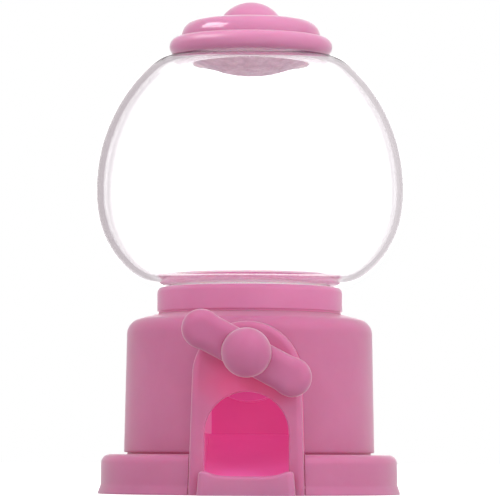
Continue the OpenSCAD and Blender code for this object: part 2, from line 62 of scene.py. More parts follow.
SHARP = 40.0  # degrees past which an edge is sharp
Colour = tuple[float, float, float]
Corner = tuple[float, float, float]


class Body(Enum):
    """Moving groups of the machine."""

    BASE = "base"
    ROTOR = "rotor"
    LID = "lid"


class Slot(Enum):
    """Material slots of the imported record."""

    PINK = "pink_plastic"
    HOT_PINK = "hot_pink_plastic"
    PALE = "pale_plastic"
    CLEAR = "clear_plastic"
    FROSTED = "frosted_plastic"
    STEEL = "steel"
    WHITE = "white_plastic"


class Axis(Enum):
    """Axis that a turned shape is spun about."""

    UP = "up"
    SHAFT = "shaft"


# ---------------------------------------------------------------- shapes


def span(node: str) -> tuple[np.ndarray, np.ndarray]:
    """Lowest and highest corners of a CAD node at rest, in millimetres."""
    low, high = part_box(node)
    return np.array(low) / MM, np.array(high) / MM


def heights(node: str) -> tuple[float, float]:
    """Lowest and highest places of a CAD node at rest, in millimetres."""
    low, high = span(node)
    return low[2], high[2]


def shaft_height() -> float:
    """Height of the shaft's line in millimetres."""
    low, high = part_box("dispensing_drum")
    return (low.z + high.z) / 2 / MM


def fillet(corners: Sequence[Corner], steps: int = 8, support: float = 0.25) -> np.ndarray:
    """Profile through corners, each rounded by an arc that is tangent to both of its sides.

    A corner's arc runs between the two points that lie radius / tan(half its angle) along its sides.
    A support point on each side of the arc keeps the shading of the flat parts flat.

    Args:
        corners: (radius from the axis, height, rounding radius) in millimetres.
        steps: Spans of each arc.
        support: Distance of the support points from the arc, in millimetres.

    Returns:
        Points (n, 2) in millimetres.
    """
    straight, least = 1e-4, 0.01
    plan = np.array(corners, float)
    out = [plan[:1, :2]]
    for before, here, after in zip(plan[:-2], plan[1:-1], plan[2:]):
        to_before, to_after = before[:2] - here[:2], after[:2] - here[:2]
        reach = min(np.linalg.norm(to_before), np.linalg.norm(to_after)) * 0.5
        to_before /= np.linalg.norm(to_before)
        to_after /= np.linalg.norm(to_after)
        half = 0.5 * math.acos(float(np.clip(to_before @ to_after, -1, 1)))
        if here[2] <= 0 or abs(half - math.pi / 2) < straight:
            out.append(here[None, :2])
            continue
        tangent = min(here[2] / math.tan(half), reach * 0.999)
        radius = tangent * math.tan(half)
        bisector = (to_before + to_after) / np.linalg.norm(to_before + to_after)
        centre = here[:2] + bisector * radius / math.sin(half)
        first, last = here[:2] + to_before * tangent - centre, here[:2] + to_after * tangent - centre
        sweep = math.pi - 2 * half
        t = np.linspace(0, 1, steps + 1)[:, None]
        arc = centre + (np.sin((1 - t) * sweep) * first + np.sin(t * sweep) * last) / math.sin(sweep)
        side = min(support, (reach - tangent) * 0.5)
        if side > least:
            arc = np.vstack([arc[:1] + to_before * side, arc, arc[-1:] + to_after * side])
        out.append(arc)
    out.append(plan[-1:, :2])
    return np.vstack(out)


def resample(profile: np.ndarray, places: np.ndarray) -> np.ndarray:
    """Points of a polyline at given shares of its length, found by linear interpolation.

    Args:
        profile: Points (n, 2).
        places: Shares from 0 to 1.

    Returns:
        Points (len(places), 2).
    """
    run = np.concatenate([[0.0], np.cumsum(np.linalg.norm(np.diff(profile, axis=0), axis=1))])
    return np.stack([np.interp(places * run[-1], run, profile[:, k]) for k in range(2)], axis=1)


def spin(profile: np.ndarray, axis: Axis = Axis.UP, height: float = 0.0, segments: int = 160) -> np.ndarray:
    """Surface of revolution: each profile point goes round the axis in a full circle.

    Args:
        profile: (radius, place along the axis) in millimetres.
        axis: UP spins about the vertical axis, SHAFT about a line along Y.
        height: Height of the shaft's line, for SHAFT.
        segments: Spans round the circle.

    Returns:
        Grid (profile points, segments, 3) in metres.
    """
    angle = np.linspace(0, 2 * np.pi, segments, endpoint=False)[None, :]
    radius, along = profile[:, :1], np.repeat(profile[:, 1:], segments, axis=1)
    if axis is Axis.UP:
        return np.stack([radius * np.sin(angle), -radius * np.cos(angle), along], axis=-1) * MM
    return np.stack([radius * np.sin(angle), along, height + radius * np.cos(angle)], axis=-1) * MM


class Moulding:
    """Collects numpy grids and turns them into one smooth, closed object."""

    def __init__(self, name: str) -> None:
        """Starts an empty moulding called name."""
        self.name = name
        self.points: list[np.ndarray] = []
        self.quads: list[np.ndarray] = []
        self.count = 0  # points so far

    def add(self, grid: np.ndarray, wrap_rows: bool = False, wrap_columns: bool = False) -> "Moulding":
        """Adds a grid of points as quads between neighbouring rows and columns.

        Args:
            grid: Points (rows, columns, 3) in metres.
            wrap_rows: Joins the last row to the first.
            wrap_columns: Joins the last column to the first.

        Returns:
            The moulding itself.
        """
        rows, columns = grid.shape[:2]
        i = np.arange(rows if wrap_rows else rows - 1)[:, None]
        j = np.arange(columns if wrap_columns else columns - 1)[None, :]
        i2, j2 = (i + 1) % rows, (j + 1) % columns
        faces = np.stack([i * columns + j, i2 * columns + j, i2 * columns + j2, i * columns + j2], axis=-1)
        self.points.append(grid.reshape(-1, 3))
        self.quads.append(faces.reshape(-1, 4) + self.count)
        self.count += rows * columns
        return self

    def shell(self, outer: np.ndarray, inner: np.ndarray, open_rows: slice | None = None) -> "Moulding":
        """Adds two skins with the same grid and the strips that join their borders into one wall.

        Args:
            outer: Outer skin (rows, columns, 3).
            inner: Inner skin of the same shape.
            open_rows: Rows whose first and last columns are real edges; None means all of them.

        Returns:
            The moulding itself.
        """
        rows = open_rows or slice(0, outer.shape[0])
        self.add(outer)
        self.add(inner)
        for place in (0, -1):
            self.add(np.stack([outer[rows, place], inner[rows, place]]))
            self.add(np.stack([outer[place], inner[place]]))
        return self

    def make(self, merge: float = MERGE, sharp: float = SHARP, fill: bool = False) -> bpy.types.Object:
        """Builds the object: doubles merged, faces outwards, smooth but for edges sharper than an angle.

        Args:
            merge: Distance in metres under which points merge.
            sharp: Angle in degrees.
            fill: Closes every open border with a flat face.

        Returns:
            The new object.
        """
        points, quads = np.vstack(self.points), np.vstack(self.quads)
        mesh = bpy.data.meshes.new(self.name)
        mesh.vertices.add(len(points))
        mesh.vertices.foreach_set("co", points.astype(np.float32).ravel())
        mesh.loops.add(quads.size)
        mesh.loops.foreach_set("vertex_index", quads.astype(np.int32).ravel())
        mesh.polygons.add(len(quads))
        mesh.polygons.foreach_set("loop_start", np.arange(0, quads.size, 4, dtype=np.int32))
        mesh.update(calc_edges=True)
        tidy_mesh(mesh, merge, sharp, fill)
        piece = bpy.data.objects.new(self.name, mesh)
        bpy.context.scene.collection.objects.link(piece)
        return piece


def turned(name: str, profile: Sequence[Sequence[float]] | np.ndarray, closed: bool = False, axis: Axis = Axis.UP,
           height: float = 0.0, segments: int = 160, merge: float = MERGE) -> bpy.types.Object:
    """Makes a piece of one turned profile, which is a closed loop or a line with both ends on the axis.

    Args:
        name: Name of the piece.
        profile: (radius, place along the axis) in millimetres.
        closed: Whether the profile is a closed loop.
        axis: Axis that it is spun about.
        height: Height of the shaft's line, for SHAFT.
        segments: Spans round the circle.
        merge: Distance in metres under which points merge.

    Returns:
        The new piece.
    """
    return Moulding(name).add(spin(np.asarray(profile), axis, height, segments), closed, True).make(merge=merge)


def tidy_mesh(mesh: bpy.types.Mesh, merge: float, sharp: float, fill: bool = False) -> None:
    """Merges doubles, turns faces outwards, drops empty faces and marks sharp edges in a mesh.

    Args:
        mesh: Mesh to change.
        merge: Distance in metres under which points merge.
        sharp: Angle in degrees past which an edge is sharp.
        fill: Closes every open border with a flat face.
    """
    work = bmesh.new()
    work.from_mesh(mesh)
    bmesh.ops.remove_doubles(work, verts=work.verts, dist=merge)
    bmesh.ops.dissolve_degenerate(work, edges=work.edges, dist=merge * 0.5)
    if fill:
        bmesh.ops.holes_fill(work, edges=[edge for edge in work.edges if edge.is_boundary], sides=0)
    bmesh.ops.recalc_face_normals(work, faces=work.faces)
    limit = math.radians(sharp)
    for face in work.faces:
        face.smooth = True
    for edge in work.edges:
        edge.smooth = len(edge.link_faces) == 2 and edge.calc_face_angle(0.0) < limit
    work.to_mesh(mesh)
    work.free()
    mesh.update()


def carve(piece: bpy.types.Object, cutter: bpy.types.Object, operation: str = "DIFFERENCE") -> None:
    """Cuts or joins another closed object into a piece and removes that object.

    Args:
        piece: Object to change.
        cutter: Object that is used up.
        operation: Blender's name for the boolean.
    """
    step = piece.modifiers.new("carve", "BOOLEAN")
    step.operation = operation
    step.solver = "EXACT"
    step.object = cutter
    bpy.context.view_layer.update()
    graph = bpy.context.evaluated_depsgraph_get()
    result = bpy.data.meshes.new_from_object(piece.evaluated_get(graph), depsgraph=graph)
    piece.modifiers.clear()
    old = piece.data
    piece.data = result
    bpy.data.meshes.remove(old)
    bpy.data.objects.remove(cutter)
    result.name = piece.name
    tidy_mesh(result, MERGE, SHARP)


# ---------------------------------------------------------------- finishes


class Wiring:
    """A node tree with short calls for adding and joining nodes."""

    def __init__(self, tree: bpy.types.NodeTree) -> None:
        """Wraps tree and empties it."""
        self.tree = tree
        tree.nodes.clear()

    def feed(self, socket: bpy.types.NodeSocket, value: object) -> None:
        """Links an input to a socket or sets its value; a linear colour gets its alpha.

        Args:
            socket: The input.
            value: Socket to link, or the value.
        """
        if isinstance(value, bpy.types.NodeSocket):
            self.tree.links.new(value, socket)
        elif socket.type == "RGBA":
            socket.default_value = (*value[:3], 1.0)
        else:
            socket.default_value = value

    def node(self, kind: str, settings: dict[str, object] | None = None, **values: object) -> bpy.types.Node:
        """Adds a node.

        Args:
            kind: Blender's node type.
            settings: Properties of the node.
            values: Input values or sockets to link, by input name with underscores for spaces.

        Returns:
            The new node.
        """
        made = self.tree.nodes.new(kind)
        for key, value in (settings or {}).items():
            setattr(made, key, value)
        for key, value in values.items():
            self.feed(made.inputs[key.replace("_", " ")], value)
        return made

    def math(self, operation: str, first: object, second: object = 0.5, clamp: bool = False) -> bpy.types.NodeSocket:
        """Adds a Math node.

        Args:
            operation: Blender's name for the sum.
            first: First value or socket.
            second: Second value or socket.
            clamp: Whether the result is kept within 0 and 1.

        Returns:
            Its output.
        """
        return self.join("ShaderNodeMath", first, second, operation=operation, use_clamp=clamp)

    def mix(self, share: object, first: object, second: object) -> bpy.types.NodeSocket:
        """Adds a colour mix.

        Args:
            share: Share of the second colour.
            first: First colour, linear, or its socket.
            second: Second colour, linear, or its socket.

        Returns:
            Its output.
        """
        made = self.node("ShaderNodeMix", {"data_type": "RGBA"})
        for place, value in ((0, share), (6, first), (7, second)):
            self.feed(made.inputs[place], value)
        return made.outputs[2]

    def join(self, kind: str, *values: object, **settings: object) -> bpy.types.NodeSocket:
        """Adds a node whose inputs are fed in order.

        Args:
            kind: Blender's node type.
            values: Input values or sockets to link.
            settings: Properties of the node.

        Returns:
            Its first output.
        """
        made = self.node(kind, settings)
        for socket, value in zip(made.inputs, values):
            self.feed(socket, value)
        return made.outputs[0]

    def ramp(self, value: bpy.types.NodeSocket, start: float, end: float, most: float = 1.0,
             smooth: bool = False) -> bpy.types.NodeSocket:
        """Adds a Map Range node: 0 at start, most at end and limited outside them.

        Args:
            value: Socket of the value.
            start: Value that gives 0.
            end: Value that gives most.
            most: The result at end.
            smooth: Whether the way between them is an S-curve rather than a straight line.

        Returns:
            Its output.
        """
        return self.node("ShaderNodeMapRange", {"interpolation_type": "SMOOTHSTEP" if smooth else "LINEAR"},
                         Value=value, From_Min=start, From_Max=end, To_Max=most).outputs["Result"]

    def here(self) -> bpy.types.NodeSocket:
        """The place on the piece, in metres."""
        return self.node("ShaderNodeTexCoord").outputs["Object"]


class GroupLibrary:
    """Shader node groups that several finishes share, each made once."""

    @staticmethod
    def moulded_skin() -> bpy.types.NodeTree:
        """Plastic straight from the mould: cloudy pigment, soft shine marks and a fine skin.

        Returns:
            Group with the outputs Colour, Roughness and Height.
        """
        tree = bpy.data.node_groups.get("moulded_skin")
        if tree:
            return tree
        tree = bpy.data.node_groups.new("moulded_skin", "ShaderNodeTree")
        floats = {"Cloud Size": 90.0, "Cloud": 0.5, "Roughness": 0.3, "Shine": 0.08, "Grain Size": 2600.0,
                  "Grain": 0.3, "Wave": 0.5}
        for name in ("Colour", "Thick"):
            tree.interface.new_socket(name, in_out="INPUT", socket_type="NodeSocketColor")
        for name, value in floats.items():
            tree.interface.new_socket(name, in_out="INPUT", socket_type="NodeSocketFloat").default_value = value
        for name, kind in (("Colour", "Color"), ("Roughness", "Float"), ("Height", "Float")):
            tree.interface.new_socket(name, in_out="OUTPUT", socket_type="NodeSocket" + kind)
        w = Wiring(tree)
        given, here = w.node("NodeGroupInput").outputs, w.here()

        def noise(**values: object) -> bpy.types.NodeSocket:
            """Noise on the piece's own coordinates."""
            return w.node("ShaderNodeTexNoise", Vector=here, **values).outputs["Fac"]

        cloud = w.ramp(noise(Scale=given["Cloud Size"], Detail=3.0, Roughness=0.55, Distortion=0.4), 0.3, 0.7)
        share = w.math("MULTIPLY", cloud, given["Cloud"], clamp=True)
        marks = noise(Scale=240.0, Detail=4.0, Roughness=0.6)
        shine = w.math("MULTIPLY", w.math("SUBTRACT", marks, 0.5), given["Shine"])
        fine = w.math("MULTIPLY", noise(Scale=given["Grain Size"], Detail=2.0), given["Grain"])
        broad = w.math("MULTIPLY", noise(Scale=55.0, Detail=1.0), given["Wave"])
        w.node("NodeGroupOutput", Colour=w.mix(share, given["Colour"], given["Thick"]),
               Roughness=w.math("ADD", given["Roughness"], shine, clamp=True), Height=w.math("ADD", fine, broad))
        return tree


def moulded(w: Wiring, bump: float, **values: object) -> tuple[bpy.types.Node, dict[str, bpy.types.NodeSocket]]:
    """Adds the shared skin and the bump made from it.

    Args:
        w: Wiring of the material.
        bump: Height in metres of the skin's full range.
        values: Inputs of the skin, by name with underscores for spaces.

    Returns:
        The skin's node, and the shader inputs that it gives: colour, roughness and normal.
    """
    skin = w.node("ShaderNodeGroup", {"node_tree": GroupLibrary.moulded_skin()}, **values)
    relief = w.node("ShaderNodeBump", Height=skin.outputs["Height"], Distance=bump, Strength=1.0)
    return skin, {"Base_Color": skin.outputs["Colour"], "Roughness": skin.outputs["Roughness"],
                  "Normal": relief.outputs["Normal"]}


def let_through(w: Wiring, shader: bpy.types.Node, share: float, tint: Colour) -> bpy.types.NodeSocket:
    """Adds a way straight through the surface for part of the soft light and of the shadow rays.

    Args:
        w: Wiring of the material.
        shader: Shader of the surface.
        share: Share that passes.
        tint: Colour of the light that passes, linear.

    Returns:
        Socket of the surface.
    """
    path = w.node("ShaderNodeLightPath").outputs
    soft = w.math("MAXIMUM", path["Is Shadow Ray"], path["Is Diffuse Ray"])
    return w.join("ShaderNodeMixShader", w.math("MULTIPLY", soft, share), shader.outputs["BSDF"],
                  w.join("ShaderNodeBsdfTransparent", tint))


@dataclass(frozen=True)
class Finish:
    """What every finish has."""

    name: str  # Name of the material.

    def wire(self, w: Wiring) -> None:
        """Adds the material's nodes, which each kind of finish does in its own way."""
        raise NotImplementedError

    def material(self) -> bpy.types.Material:
        """The material, made on the first call."""
        made = bpy.data.materials.get(self.name)
        if made is None:
            made = bpy.data.materials.new(self.name)
            made.use_nodes = True
            self.wire(Wiring(made.node_tree))
        return made


@dataclass(frozen=True)
class Plastic(Finish):
    """Moulded plastic that lets some light through."""

    colour: Colour  # Colour where the pigment is thin, linear.
    thick: Colour  # Colour where it is dense, linear.
    roughness: float = 0.32  # Mean roughness.
    depth: Colour = (0.005, 0.0012, 0.0022)  # How far light travels inside, in metres, for red, green and blue.
    scatter: float = 0.6  # Share of the light that goes under the surface.
    grain: float = 0.25  # Depth of the fine skin.
    grain_size: float = 2600.0  # Scale of the fine skin.
    bump: float = 0.00004  # Height in metres of the skin's full range.
    cloud: float = 0.5  # Strength of the cloudy pigment.
    cloud_size: float = 90.0  # Scale of the cloudy pigment.
    sheen: float = 0.45  # Soft light at grazing angles.
    leak: float = 0.55  # Share of the soft light and shadows that passes straight through a wall.
    tint: Colour = (1.0, 0.42, 0.7)  # Colour of the light that passes, linear.
    glow: float = 0.0  # Strength of the painted glow: emission that stands in for light passing through the plastic.

    def pigment(self, w: Wiring, skin: bpy.types.Node) -> bpy.types.NodeSocket:
        """Colour of the surface: the cloudy pigment as it is."""
        return skin.outputs["Colour"]

    def polish(self, w: Wiring, skin: bpy.types.Node) -> bpy.types.NodeSocket:
        """Roughness of the surface: that of the skin as it is."""
        return skin.outputs["Roughness"]

    def wire(self, w: Wiring) -> None:
        """Adds a shader with light under its skin, a soft sheen, a painted glow and a leak of light.

        Args:
            w: Wiring of the material.
        """
        skin, look = moulded(w, self.bump, Colour=self.colour, Thick=self.thick, Cloud=self.cloud,
                             Cloud_Size=self.cloud_size, Roughness=self.roughness, Grain=self.grain,
                             Grain_Size=self.grain_size)
        look |= {"Base_Color": self.pigment(w, skin), "Roughness": self.polish(w, skin)}
        # The emission is painted glow, not a lamp.
        shader = w.node("ShaderNodeBsdfPrincipled", IOR=1.49, Subsurface_Weight=self.scatter, Subsurface_Scale=1.0,
                        Subsurface_Radius=self.depth, Sheen_Weight=self.sheen, Sheen_Roughness=0.3,
                        Emission_Color=self.colour, Emission_Strength=self.glow, **look)
        w.node("ShaderNodeOutputMaterial", Surface=let_through(w, shader, self.leak, self.tint))


@dataclass(frozen=True)
class PaintedGlowPlastic(Plastic):
    """Moulded plastic with a painted glow: a warmer colour painted on the thin wall where light from a deep pink part
    close behind it would shine through.
    """

    behind: Colour = (0.84, 0.105, 0.3)  # Colour of the painted glow, that of the deep pink part behind, linear.
    centre: Corner = (0.0, 0.0, 0.03)  # Middle of that part, in metres.
    reach: tuple[float, float] = (0.017, 0.013)  # Half its width and height, in metres.
    most: float = 0.75  # Strongest share of the painted glow.

    def pigment(self, w: Wiring, skin: bpy.types.Node) -> bpy.types.NodeSocket:
        """Colour of the surface: the painted glow fades with the distance from the part's middle.

        Args:
            w: Wiring of the material.
            skin: Group that holds the cloudy pigment.

        Returns:
            Socket with the colour.
        """
        wide, high = self.reach
        around = w.node("ShaderNodeMapping", Vector=w.here(), Scale=(1 / wide, 0.0, 1 / high),
                        Location=(-self.centre[0] / wide, 0.0, -self.centre[2] / high))
        away = w.node("ShaderNodeVectorMath", {"operation": "LENGTH"}, Vector=around.outputs["Vector"])
        share = w.ramp(away.outputs["Value"], 1.0, 0.2, self.most, smooth=True)
        return w.mix(share, skin.outputs["Colour"], self.behind)


@dataclass(frozen=True)
class DullRim(Plastic):
    """Moulded plastic whose rim, under a given height, is less polished."""

    level: float = 0.0  # Height of the rim's top, in metres.
    dull: float = 0.38  # Roughness of the rim.

    def polish(self, w: Wiring, skin: bpy.types.Node) -> bpy.types.NodeSocket:
        """Roughness of the surface: that of the skin, and more on the rim.

        Args:
            w: Wiring of the material.
            skin: Group that holds the skin's roughness.

        Returns:
            Socket with the roughness.
        """
        fade = 0.1 * MM
        up = w.node("ShaderNodeSeparateXYZ", Vector=w.here()).outputs["Z"]
        more = w.ramp(up, self.level + fade, self.level - fade, self.dull - self.roughness)
        return w.math("ADD", skin.outputs["Roughness"], more)


@dataclass(frozen=True)
class ClearPlastic(Finish):
    """Polished clear plastic with faint handling marks."""

    tint: Colour = (0.985, 0.985, 0.99)  # Colour of the clear plastic, linear.
    thick: Colour = (0.96, 0.95, 0.97)  # Colour where it is smeared, linear.
    passing: Colour = (0.95, 0.94, 0.95)  # Colour of the soft light that passes straight through, linear.
    ior: float = 1.5  # Refractive index.
    smear: float = 0.05  # Roughness at the strongest marks.
    depth_colour: Colour = (0.64, 0.6, 0.62)  # Colour that the plastic takes where light travels far inside it.
    density: float = 95.0  # Strength of that colour, per metre.

    def wire(self, w: Wiring) -> None:
        """Adds a shader that light passes through, with a tint that grows with its way inside.

        Args:
            w: Wiring of the material.
        """
        _, look = moulded(w, 0.00003, Colour=self.tint, Thick=self.thick, Cloud=0.3, Roughness=0.012,
                          Shine=self.smear, Grain=0.02, Wave=1.0)
        shader = w.node("ShaderNodeBsdfPrincipled", IOR=self.ior, Transmission_Weight=1.0, **look)
        depth = w.join("ShaderNodeVolumeAbsorption", self.depth_colour, self.density)
        w.node("ShaderNodeOutputMaterial", Surface=let_through(w, shader, 1.0, self.passing), Volume=depth)


@dataclass(frozen=True)
class PlainSteel(Finish):
    """Bright steel of screws and the shaft, with turning marks."""

    colour: Colour = (0.62, 0.63, 0.65)  # Colour of the bare metal, linear.
    marks: Colour = (0.5, 0.5, 0.52)  # Colour of the turning marks, linear.

    def wire(self, w: Wiring) -> None:
        """Adds a bare metal shader.

        Args:
            w: Wiring of the material.
        """
        _, look = moulded(w, 0.00002, Colour=self.colour, Thick=self.marks, Cloud=0.6, Cloud_Size=500.0,
                          Roughness=0.28, Shine=0.25, Grain=0.6, Grain_Size=5200.0)
        shader = w.node("ShaderNodeBsdfPrincipled", Metallic=1.0, **look)
        w.node("ShaderNodeOutputMaterial", Surface=shader.outputs["BSDF"])


PINK = Plastic("candy_pink", (0.555, 0.18, 0.335), (0.5, 0.145, 0.285), roughness=0.34, sheen=0.5)
# handle_pink: a darker copy of the pink, painted shade on the handle and its ball.
HANDLE_PINK = Plastic("handle_pink", (0.52, 0.155, 0.305), (0.46, 0.125, 0.26), roughness=0.36, sheen=1.0)
# front_pink: a slightly darker copy of the pink for painted shade, with a painted glow on the housing's face under
# the handle.
FRONT_PINK = PaintedGlowPlastic("front_pink", (0.545, 0.165, 0.32), (0.485, 0.135, 0.275), sheen=1.0)
# tray_pink: a paler copy of the pink, painted light from the floor on the tray.
TRAY_PINK = Plastic("tray_pink", (0.54, 0.195, 0.35), (0.48, 0.16, 0.3))
# lit_pink: a brighter, glowing copy of the pink, painted light for the drum's inside.
LIT_PINK = Plastic("lit_pink", (0.62, 0.2, 0.4), (0.56, 0.17, 0.35), glow=0.55)
# neck_pink: a lighter, glowing copy of the pink, painted light on the collar and funnel.
NECK_PINK = Plastic("neck_pink", (0.6, 0.2, 0.37), (0.54, 0.16, 0.32), roughness=0.2, glow=0.16, sheen=0.6)
# lid_pink: a paler, glowing copy of the pink, painted light on the lid; its duller rim is only roughness.
LID_PINK = DullRim("lid_pink", (0.54, 0.21, 0.36), (0.48, 0.17, 0.31), roughness=0.14, glow=0.19, sheen=1.0)
# hot_pink: the deep pink of the chute and drum housing, which also stands in for the saturated bounce light in the
# pink cavity; its glow is painted light.
HOT_PINK = Plastic("hot_pink", (0.67, 0.087, 0.34), (0.62, 0.072, 0.3), roughness=0.35, scatter=0.7,
                   leak=0.5, tint=(1.0, 0.25, 0.55), glow=0.33)
PALE = Plastic("pale_pink", (0.72, 0.5, 0.6), (0.68, 0.46, 0.56), roughness=0.45)
WHITE = Plastic("washer_white", (0.75, 0.75, 0.76), (0.7, 0.7, 0.71), roughness=0.45)
# frosted_mauve: its mottles are the plug's own; its glow is painted light.
FROSTED = Plastic("frosted_mauve", (0.88, 0.66, 0.78), (0.56, 0.34, 0.47), glow=0.11, roughness=0.45, grain=1.0,
                  grain_size=900.0, bump=0.0007, cloud=1.0, cloud_size=420.0, sheen=0.3)
CLEAR = ClearPlastic("clear_globe")
# A pale matt edge with a painted glow, which paints light into the dark bands of the clear wall.
GLOWING_MATT_EDGE = Plastic("matt_clear_edge", (0.9, 0.85, 0.87), (0.84, 0.78, 0.81), roughness=0.5, tint=(1.0, 0.95, 0.97),
                    glow=0.3)
STEEL = PlainSteel("plain_steel")


def dress(piece: bpy.types.Object, finish: Finish) -> None:
    """Gives every face of a piece one finish."""
    piece.data.materials.clear()
    piece.data.materials.append(finish.material())


def line_inside(piece: bpy.types.Object, finish: Finish, reach: float = math.inf) -> None:
    """Gives a second finish to the faces of a turned piece whose normals point at its axis, within 60 degrees.

    Args:
        piece: The turned piece.
        finish: The second finish.
        reach: How far from the axis the faces may be, in millimetres.
    """
    piece.data.materials.append(finish.material())
    count = len(piece.data.polygons)
    normals, centres = np.empty(count * 3), np.empty(count * 3)
    piece.data.polygons.foreach_get("normal", normals)
    piece.data.polygons.foreach_get("center", centres)
    normals, centres = normals.reshape(-1, 3)[:, :2], centres.reshape(-1, 3)[:, :2]
    away, facing = np.linalg.norm(centres, axis=1), 0.5
    inward = ((normals * centres).sum(axis=1) < -facing * away) & (away < reach * MM)
    piece.data.polygons.foreach_set("material_index", inward.astype(np.int32))


def place(piece: bpy.types.Object, body: Body, slot: Slot, finish: Finish, nodes: Sequence[str]) -> None:
    """Dresses a new piece, sets it on its body and lets it stand for its CAD nodes.

    Args:
        piece: The new piece.
        body: Body that it rides on.
        slot: Slot of the record; not used.
        finish: Its finish.
        nodes: CAD nodes that it replaces.
    """
    dress(piece, finish)
    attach(piece, body.value)
    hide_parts(*nodes)
    LOG.info("%s: %d faces on %s", piece.name, len(piece.data.polygons), body.value)


# ---------------------------------------------------------------- the machine


